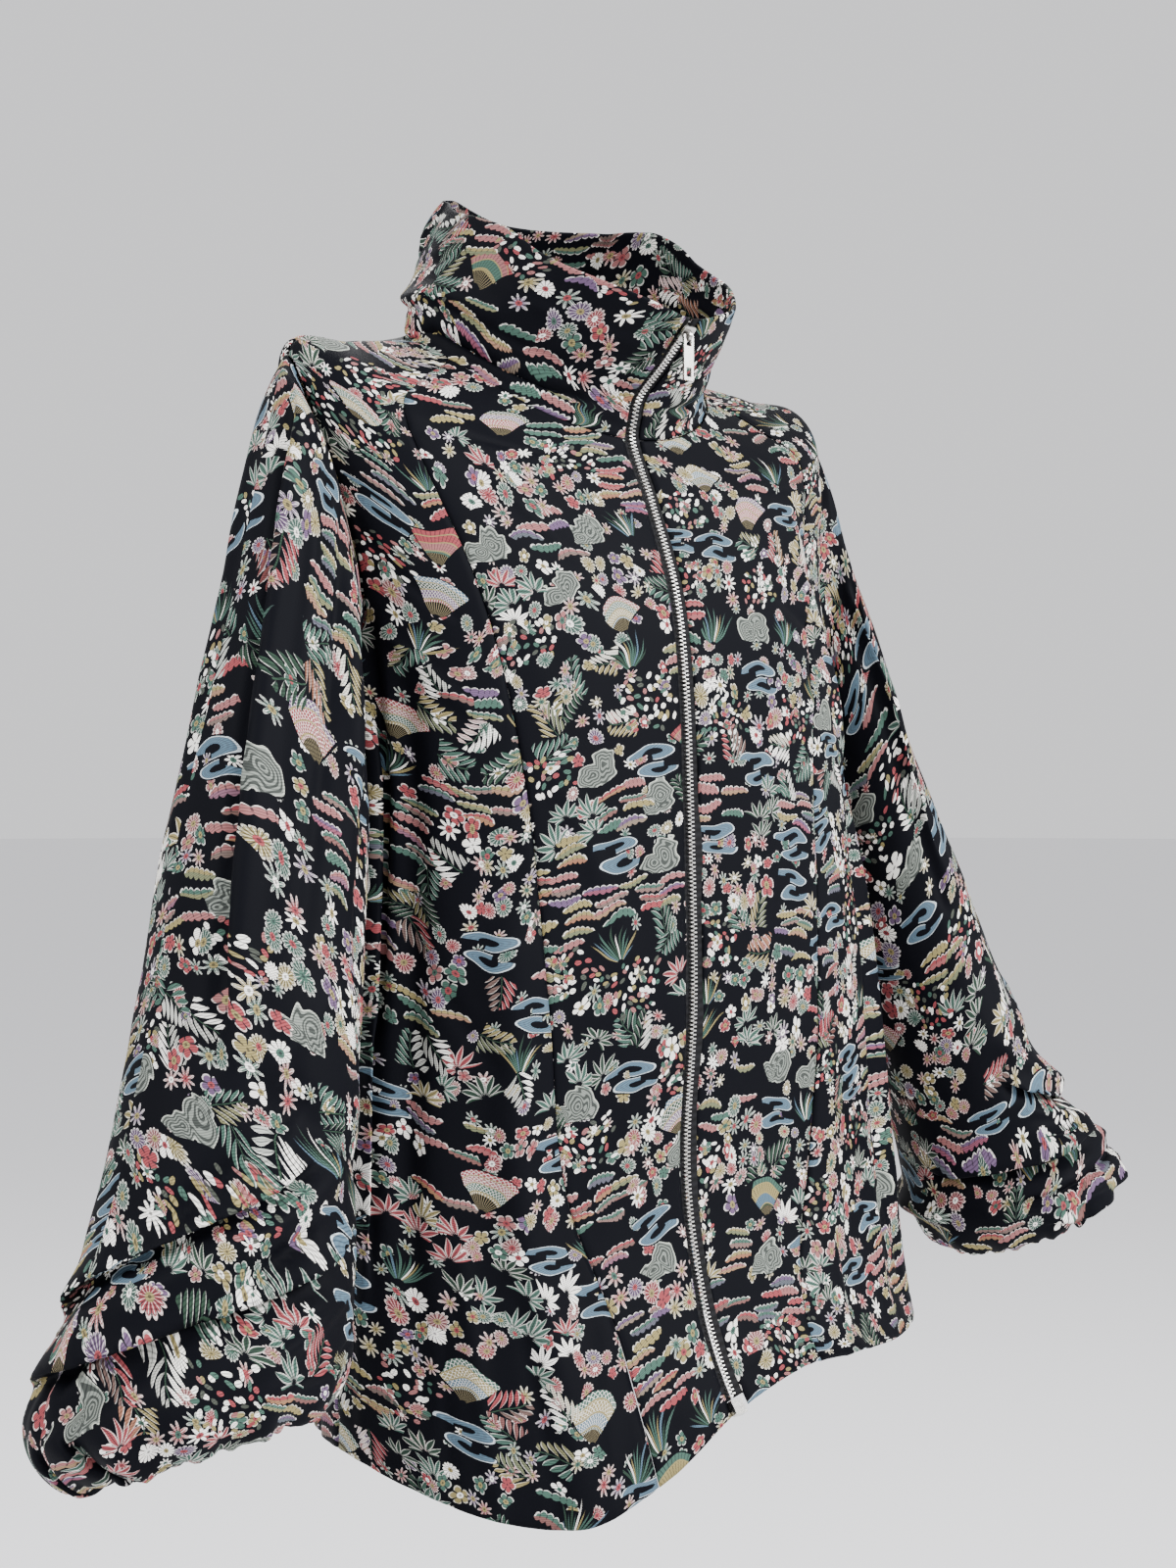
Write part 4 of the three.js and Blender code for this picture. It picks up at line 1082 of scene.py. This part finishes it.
@dataclass(frozen=True)
class Cut:
    """How a piece lies on the bolt of cloth: its turn in degrees and its place in metres."""

    grain: float
    shift: tuple[float, float]

    def layout(self, s: Array, t: Array) -> Array:
        """Turns flat places on the piece, in millimetres, into places on the bolt, in metres."""
        turn = math.radians(self.grain)
        layout = np.stack([s * math.cos(turn) - t * math.sin(turn), s * math.sin(turn) + t * math.cos(turn)],
                          axis=-1)
        return layout * MM + np.array(self.shift)


def cloth_piece(name: str, surface: Surface, place: Callable[[Array, Array], tuple[Array, Array]],
                relief: Callable[[Array, Array, Array, Array], Array], cells: tuple[int, int], cut: Cut,
                material: bpy.types.Material, wall: float, tucked: bool = True,
                closed: bool = False) -> bpy.types.Object:
    """Makes one cut piece of cloth as a grid, shaped over its surface, with its own flat layout as UVs.

    Args:
        name: the piece's name.
        surface: the surface under it.
        place: gives the angle and the ring for shares (u, v) of the piece.
        relief: gives the millimetres that creases add, from the angle, the ring and the flat place.
        cells: how many faces across and up.
        cut: how it lies on the bolt.
        material: its cloth.
        wall: its thickness, inwards, in millimetres.
        tucked: whether the surface's tucks move it.
        closed: whether the piece is a tube.

    Returns:
        The piece, with its place in its mesh.
    """
    columns, rows = cells
    bm = bmesh.new()
    bmesh.ops.create_grid(bm, x_segments=columns, y_segments=rows, size=0.5)
    bm.verts.ensure_lookup_table()
    flat = np.array([vert.co[:2] for vert in bm.verts]) + 0.5
    i = np.rint(flat[:, 0] * columns).astype(int)
    j = np.rint(flat[:, 1] * rows).astype(int)
    u, v = np.meshgrid(np.linspace(0, 1, columns + 1), np.linspace(0, 1, rows + 1))
    angle, at = place(u, v)
    base = surface.point(angle, at)
    across = np.linalg.norm(np.diff(base, axis=1), axis=2)
    along = np.linalg.norm(np.diff(base, axis=0), axis=2)
    s = np.concatenate([np.zeros((rows + 1, 1)), np.cumsum(across, axis=1)], axis=1)
    s -= s[:, columns // 2][:, None]
    t = np.concatenate([np.zeros((1, columns + 1)), np.cumsum(along, axis=0)], axis=0)
    t = t[:, columns // 2][:, None] * 0.5 + t * 0.5
    round_it, up_it, normal = surface.frame(angle, at)
    lap = surface.laps(angle, at) if tucked else np.zeros(angle.shape + (3,))
    shaped = (base + normal * (relief(angle, at, s, t) + lap[..., 2])[..., None]
              + round_it * lap[..., :1] + up_it * lap[..., 1:2]) * MM
    layout = cut.layout(s, t)
    for vert in bm.verts:
        vert.co = shaped[j[vert.index], i[vert.index]]
    uv = bm.loops.layers.uv.new("Cut")
    for face in bm.faces:
        for loop in face.loops:
            loop[uv].uv = layout[j[loop.vert.index], i[loop.vert.index]]
        face.smooth = True
    if closed:
        bmesh.ops.remove_doubles(bm, verts=bm.verts, dist=1e-6)
    bmesh.ops.recalc_face_normals(bm, faces=bm.faces)
    bm.normal_update()
    bm.faces.ensure_lookup_table()
    first = bm.faces[0]
    nearest = np.argmin(np.linalg.norm(shaped.reshape(-1, 3) - np.array(first.calc_center_median()), axis=1))
    if np.dot(normal.reshape(-1, 3)[nearest], first.normal) < 0:
        bmesh.ops.reverse_faces(bm, faces=bm.faces)
    piece = add_mesh(name, bm, material)
    thicken(piece, wall)
    return piece


def thicken(piece: bpy.types.Object, wall: float) -> None:
    """Gives a sheet its thickness, inwards, in millimetres."""
    solid = piece.modifiers.new("Wall", "SOLIDIFY")
    solid.thickness = wall * MM
    solid.offset = -1.0


def ripple(s: Array, t: Array, size: float, seed: float) -> Array:
    """Returns a soft unevenness between about -1 and 1, from flat places in millimetres."""
    flat = np.stack([s.ravel() / size, t.ravel() / size], axis=1)
    values = [noise.noise(Vector((x, y, seed))) for x, y in flat]
    return np.array(values).reshape(s.shape)


@dataclass
class Panel:
    """One panel of the body: between two seams, from the hem to the neck."""

    name: str
    start: Callable[[Array], Array]
    end: Callable[[Array], Array]
    columns: int
    cut: Cut
    flat: tuple[float, float]
    area: float
    body: Body
    rows: tuple[int, int, int] = (120, 60, 36)

    def rings(self, v: Array) -> Array:
        """Spreads the rows over the rings, closer together where the armhole's edge turns."""
        below, beside, above = self.rows
        row = v * (below + beside + above)
        low = HEM + (UNDERARM - HEM) * row / below
        f = np.clip((row - below) / beside, 0, 1)
        middle = UNDERARM + (SHOULDER_END - UNDERARM) * (1 - np.cos(np.pi * f)) / 2
        top = NECK_SEAM - NECK_GAP["body"]
        high = SHOULDER_END + (top - SHOULDER_END) * (row - below - beside) / above
        return np.where(row < below, low, np.where(row < below + beside, middle, high))

    def place(self, u: Array, v: Array) -> tuple[Array, Array]:
        """Gives the angle and the ring for shares of the panel."""
        at = self.rings(v)
        start = self.body.angle_after(self.start(at), at, SEAM_GAP / 2)
        end = self.body.angle_after(self.end(at), at, -SEAM_GAP / 2)
        return start + (end - start) * u, at

    def relief(self, angle: Array, at: Array, s: Array, t: Array) -> Array:
        """Adds creases, the puckers of the hem and the dip along each seam."""
        seed = self.cut.shift[0] * 10
        uneven = 0.9 * ripple(s, t, 60, seed) + 0.45 * ripple(s, t * 0.6, 22, seed + 5)
        puckers = 0.9 * ripple(s, t * 0.3, 9, seed + 9) * np.exp(-(t / 16) ** 2)
        turned_up = -0.5 * np.exp(-((t - 18) / 1.6) ** 2)
        edge = np.minimum(np.abs(s - s[:, :1]), np.abs(s - s[:, -1:]))
        dip = -0.9 * np.exp(-(edge / 2.2) ** 2)
        return self.body.creases(angle, at) + uneven + puckers + turned_up + dip

    def build(self, silk: bpy.types.Material) -> bpy.types.Object:
        """Cuts, drapes and dresses the panel."""
        piece = cloth_piece(self.name + "_silk", self.body, self.place, self.relief,
                            (self.columns, sum(self.rows)), self.cut, silk, CLOTH_WALL)
        tie(piece, self.name)
        return piece


@dataclass
class Torso:
    """The five panels of the body."""

    body: Body

    @staticmethod
    def front_seam(at: Array) -> Array:
        """Returns the angle of the slanted seam at some rings."""
        return sample(FRONT_SEAM[:, 0], FRONT_SEAM[:, 1], at)

    @staticmethod
    def armhole(at: Array) -> Array:
        """Returns half the width of the armhole in degrees, 0 above and below it."""
        f = np.clip((at - ARMHOLE_MIDDLE) / ARMHOLE_HALF, -1, 1)
        return ARMHOLE_HALF_ANGLE * np.sqrt(1 - f * f)

    def build(self, silk: bpy.types.Material) -> list[bpy.types.Object]:
        """Builds every panel."""
        body = self.body
        panels = (
            Panel("right_front_centre", lambda at: body.beside_zip(at, CLOTH_EDGE["right"]), self.front_seam,
                  40, Cut(3.0, (1.31, 0.27)), (0.16, 0.67), 0.061, body),
            Panel("right_front_side", self.front_seam, lambda at: 90 - self.armhole(at),
                  56, Cut(-15.0, (2.47, 1.62)), (0.21, 0.74), 0.083, body),
            Panel("back", lambda at: 90 + self.armhole(at), lambda at: 270 - self.armhole(at),
                  150, Cut(2.0, (3.83, 2.21)), (0.55, 0.70), 0.315, body),
            Panel("left_front_side", lambda at: self.armhole(at) - 90, lambda at: -self.front_seam(at),
                  64, Cut(8.0, (5.19, 0.85)), (0.23, 0.71), 0.083, body),
            Panel("left_front_centre", lambda at: -self.front_seam(at),
                  lambda at: -body.beside_zip(at, CLOTH_EDGE["left"]),
                  44, Cut(-3.0, (6.05, 1.94)), (0.16, 0.63), 0.068, body),
        )
        return [panel.build(silk) for panel in panels]


@dataclass
class Collar:
    """The slouchy funnel collar: a doubled band that goes up outside, over its edge and down inside."""

    body: Body
    columns: int = 190
    rows: tuple[int, int, int] = (64, 6, 40)
    layer: float = 1.0
    edge: float = 0.04
    cut: Cut = Cut(4.0, (7.42, 0.41))

    def place(self, u: Array, v: Array) -> tuple[Array, Array]:
        """Gives the angle and the ring for shares of the collar."""
        up, over, down = self.rows
        row = v * (up + over + down)
        low, top = NECK_SEAM + NECK_GAP["collar"], COLLAR_TOP - self.edge
        rising = low + (top - low) * row / up
        turning = top + self.edge * np.sin(np.pi * np.clip((row - up) / over, 0, 1))
        falling = top - (top - low) * (row - up - over) / down
        at = np.where(row < up, rising, np.where(row < up + over, turning, falling))
        start = self.body.beside_zip(at, CLOTH_EDGE["right"])
        end = 360 - self.body.beside_zip(at, CLOTH_EDGE["left"])
        return start + (end - start) * u, at

    def relief(self, angle: Array, at: Array, s: Array, t: Array) -> Array:
        """Adds creases, unevenness and the way down inside."""
        up, over, down = self.rows
        row = np.arange(up + over + down + 1)[:, None] * np.ones(angle.shape)
        inside = (COLLAR_WALL - 0.1) * smooth_step((row - up) / over)
        uneven = 1.1 * ripple(angle * 1.7, at * 30, 34, 71.0) + 0.5 * ripple(angle, at * 30, 12, 77.0)
        dip = -1.2 * np.exp(-((at - NECK_SEAM) * 22 / 2.5) ** 2)
        ends = np.minimum(np.abs(s - s[:, :1]), np.abs(s - s[:, -1:]))
        return (self.body.creases(angle, at) + uneven) * np.clip(ends / 12, 0, 1) + dip - inside

    def build(self, silk: bpy.types.Material) -> bpy.types.Object:
        """Cuts, drapes and dresses the collar."""
        piece = cloth_piece("collar_silk", self.body, self.place, self.relief, (self.columns, sum(self.rows)),
                            self.cut, silk, self.layer)
        tie(piece, "collar")
        return piece


@dataclass
class Sleeve:
    """One wide sleeve, gathered and rolled under at its end."""

    form: SleeveForm
    cut: Cut
    cells: tuple[int, int] = (160, 230)

    def place(self, u: Array, v: Array) -> tuple[Array, Array]:
        """Gives the turn and the section for shares of the sleeve."""
        return -self.form.mirror * 360 * u, WRIST * v

    def relief(self, turn: Array, at: Array, s: Array, t: Array) -> Array:
        """Adds creases and unevenness, still at the armhole."""
        a = np.radians(turn)
        around = np.stack([np.cos(a) * 60, np.sin(a) * 60, t], axis=-1).reshape(-1, 3)
        soft, fine = (np.array([noise.noise(Vector(p / size)) for p in around]).reshape(turn.shape)
                      for size in (np.array((48, 48, 48)), np.array((17, 17, 26))))
        return self.form.creases(turn, at) + (1.4 * soft + 0.6 * fine) * smooth_step(at / SLEEVE_LAP_START)

    def build(self, silk: bpy.types.Material) -> bpy.types.Object:
        """Cuts, drapes and dresses the sleeve."""
        node = self.form.side + "_sleeve"
        piece = cloth_piece(node + "_silk", self.form, self.place, self.relief, self.cells, self.cut, silk,
                            CLOTH_WALL, closed=True)
        tie(piece, node)
        return piece


@dataclass
class Zip:
    """The closed metal zip: two tapes, the teeth, and the hard pieces of the frame."""

    body: Body
    pitch: float = 2.4
    tooth: tuple[float, float, float] = (2.5, 0.9, 2.1)
    tooth_aside: float = 1.15
    tooth_bevel: float = 0.2
    tape_wall: float = 0.6
    samples: int = 1200
    tape_cells: tuple[int, int] = (4, 240)

    def frame_at(self, at: float) -> Matrix:
        """Returns the zip's own axes at a ring: across, up along the zip and out of the cloth."""
        origin = Vector(self.body.point(0.0, at))
        along = Vector(self.body.point(0.0, at + 0.05) - self.body.point(0.0, at - 0.05)).normalized()
        across = Vector((1, 0, 0))
        out = across.cross(along)
        return Matrix.Translation(origin) @ Matrix((across, along, out)).transposed().to_4x4()

    def tape(self, side: int, fabric: bpy.types.Material) -> bpy.types.Object:
        """Weaves one tape; side is 1 for the wearer's right and -1 for the left."""
        near, far = 1.2, TAPE_EDGE + 1.0

        def place(u: Array, v: Array) -> tuple[Array, Array]:
            """Gives the angle and the ring for shares of the tape."""
            at = CHAIN_START + (COLLAR_TOP - CHAIN_START) * v
            share = u if side > 0 else 1 - u
            return self.body.beside_zip(at, 1.0) * side * (near + (far - near) * share), at

        def relief(angle: Array, at: Array, s: Array, t: Array) -> Array:
            """Sinks the tape behind the cloth's edge and raises its beaded rim."""
            edge = np.abs(np.abs(s - s[:, :1]) - (0.0 if side > 0 else far - near))
            return -1.1 + 0.4 * np.exp(-(edge / 0.9) ** 2)

        name = "right" if side > 0 else "left"
        piece = cloth_piece(f"zip_tape_{name}_weave", self.body, place, relief, self.tape_cells,
                            Cut(0.0, (0.0, 0.0)), fabric, self.tape_wall, tucked=False)
        tie(piece, f"zip_tape_{name}")
        return piece

    def teeth(self, metal: bpy.types.Material) -> bpy.types.Object:
        """Sets the teeth of both sides along the chain, each one half a pitch from the next."""
        rings = np.linspace(CHAIN_START, SLIDER_RING, self.samples)
        run = np.linalg.norm(np.diff(self.body.point(np.zeros(rings.shape), rings), axis=0), axis=1)
        run = np.concatenate([[0.0], np.cumsum(run)])
        last = run[-1] - SLIDER_LENGTH / 2
        across, along, out = self.tooth
        bm = bmesh.new()
        for k, distance in enumerate(np.arange(self.pitch / 2, last, self.pitch / 2)):
            aside = self.tooth_aside if k % 2 else -self.tooth_aside
            at = float(np.interp(distance, run, rings))
            local = Matrix.Translation((aside, 0, 0)) @ Matrix.Diagonal((across, along, out, 1))
            made = bmesh.ops.create_cube(bm, size=1.0, matrix=self.frame_at(at) @ local)
            edges = {edge for vert in made["verts"] for edge in vert.link_edges}
            bmesh.ops.bevel(bm, geom=list(edges), offset=self.tooth_bevel, affect="EDGES", segments=1,
                            profile=0.5, material=-1, clamp_overlap=True)
        bmesh.ops.scale(bm, vec=(MM, MM, MM), verts=bm.verts)
        piece = add_mesh("zip_teeth", bm, metal)
        tie(piece, "zip_chain")
        return piece

    def build(self, fabric: bpy.types.Material, brass: bpy.types.Material,
              metal: bpy.types.Material) -> None:
        """Builds the tapes and the teeth, and plates the hard pieces."""
        self.tape(1, fabric)
        self.tape(-1, fabric)
        self.teeth(brass)
        for node in ("zip_slider", "zip_pull_tab", "zip_bottom_box"):
            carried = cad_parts[node]
            carried.data.materials.clear()
            carried.data.materials.append(metal)


@dataclass(frozen=True)
class Studio:
    """A pale floor, soft light and a camera at the photograph's angle."""

    focal_px: float = 2311.0
    picture: tuple[int, int] = (1200, 1600)
    sensor_mm: float = 36.0
    camera_at: tuple[float, float, float] = (-0.900, -1.0725, -0.265)
    azimuth: float = -40.0
    floor_z: float = -1.35
    floor_radius: float = 45.0
    target: tuple[float, float, float] = (0, 0, -0.3)
    pale: int = 0xC4C4C6
    floor_pale: int = 0xEFEFF1
    world_strength: float = 1.8

    def camera(self) -> None:
        """Sets the camera up, level, at the photograph's angle."""
        data = bpy.data.cameras.new("camera")
        data.sensor_width = self.sensor_mm
        data.lens = self.focal_px / max(self.picture) * self.sensor_mm
        data.clip_end = 100.0
        camera = add_object("camera", data)
        camera.location = self.camera_at
        camera.rotation_euler = (math.radians(90), 0, math.radians(self.azimuth))
        bpy.context.scene.camera = camera

    def floor(self) -> None:
        """Lays the floor."""
        bm = bmesh.new()
        bmesh.ops.create_circle(bm, cap_ends=True, segments=96, radius=self.floor_radius)
        bmesh.ops.translate(bm, vec=(0, 0, self.floor_z), verts=bm.verts)
        paint, _, shader = new_material("painted_floor")
        shader.inputs["Base Color"].default_value = colour(self.floor_pale)
        shader.inputs["Roughness"].default_value = 0.9
        add_mesh("floor", bm, paint)

    def light(self, name: str, azimuth: float, elevation: float, distance: float, size: float,
              watts: float) -> None:
        """Hangs one soft light that looks at the middle of the jacket.

        Args:
            name: the light's name.
            azimuth: degrees round from -Y; positive is towards the wearer's left.
            elevation: degrees above level.
            distance: metres away.
            size: metres across.
            watts: power.
        """
        data = bpy.data.lights.new(name, "AREA")
        data.shape = "DISK"
        data.size = size
        data.energy = watts
        light = add_object(name, data)
        target = Vector(self.target)
        a, e = math.radians(azimuth), math.radians(elevation)
        way = Vector((math.sin(a) * math.cos(e), -math.cos(a) * math.cos(e), math.sin(e)))
        light.location = target + way * distance
        light.rotation_euler = (target - light.location).to_track_quat("-Z", "Y").to_euler()

    def build(self) -> None:
        """Sets the whole studio up."""
        self.camera()
        self.floor()
        world = bpy.data.worlds.new("studio")
        bpy.context.scene.world = world
        world.use_nodes = True
        background = world.node_tree.nodes["Background"]
        background.inputs[0].default_value = colour(self.pale)
        background.inputs[1].default_value = self.world_strength
        self.light("key", 28, 28, 3.2, 1.8, 210)
        self.light("fill", -85, 36, 3.4, 2.4, 130)
        self.light("rim", 150, 45, 3.2, 2.0, 70)


def main() -> None:
    """Builds the studio and every piece, in order."""
    logging.basicConfig(level=logging.INFO, format="%(message)s")
    Studio().build()
    silk = FiguredSilk().build()
    fabric = ZipTape().build()
    brass = NickelPlate("nickel_plated_brass", 0xEAE8E4, 0.3).build()
    metal = NickelPlate("nickel_plated_zinc", 0xB9B7B3, 0.2).build()
    body = Body()
    Torso(body).build(silk)
    Collar(body).build(silk)
    Sleeve(SleeveForm("right", body), Cut(197.0, (8.61, 1.28))).build(silk)
    Sleeve(SleeveForm("left", body), Cut(166.0, (9.77, 2.06))).build(silk)
    Zip(body).build(fabric, brass, metal)


if __name__ == "__main__":
    main()
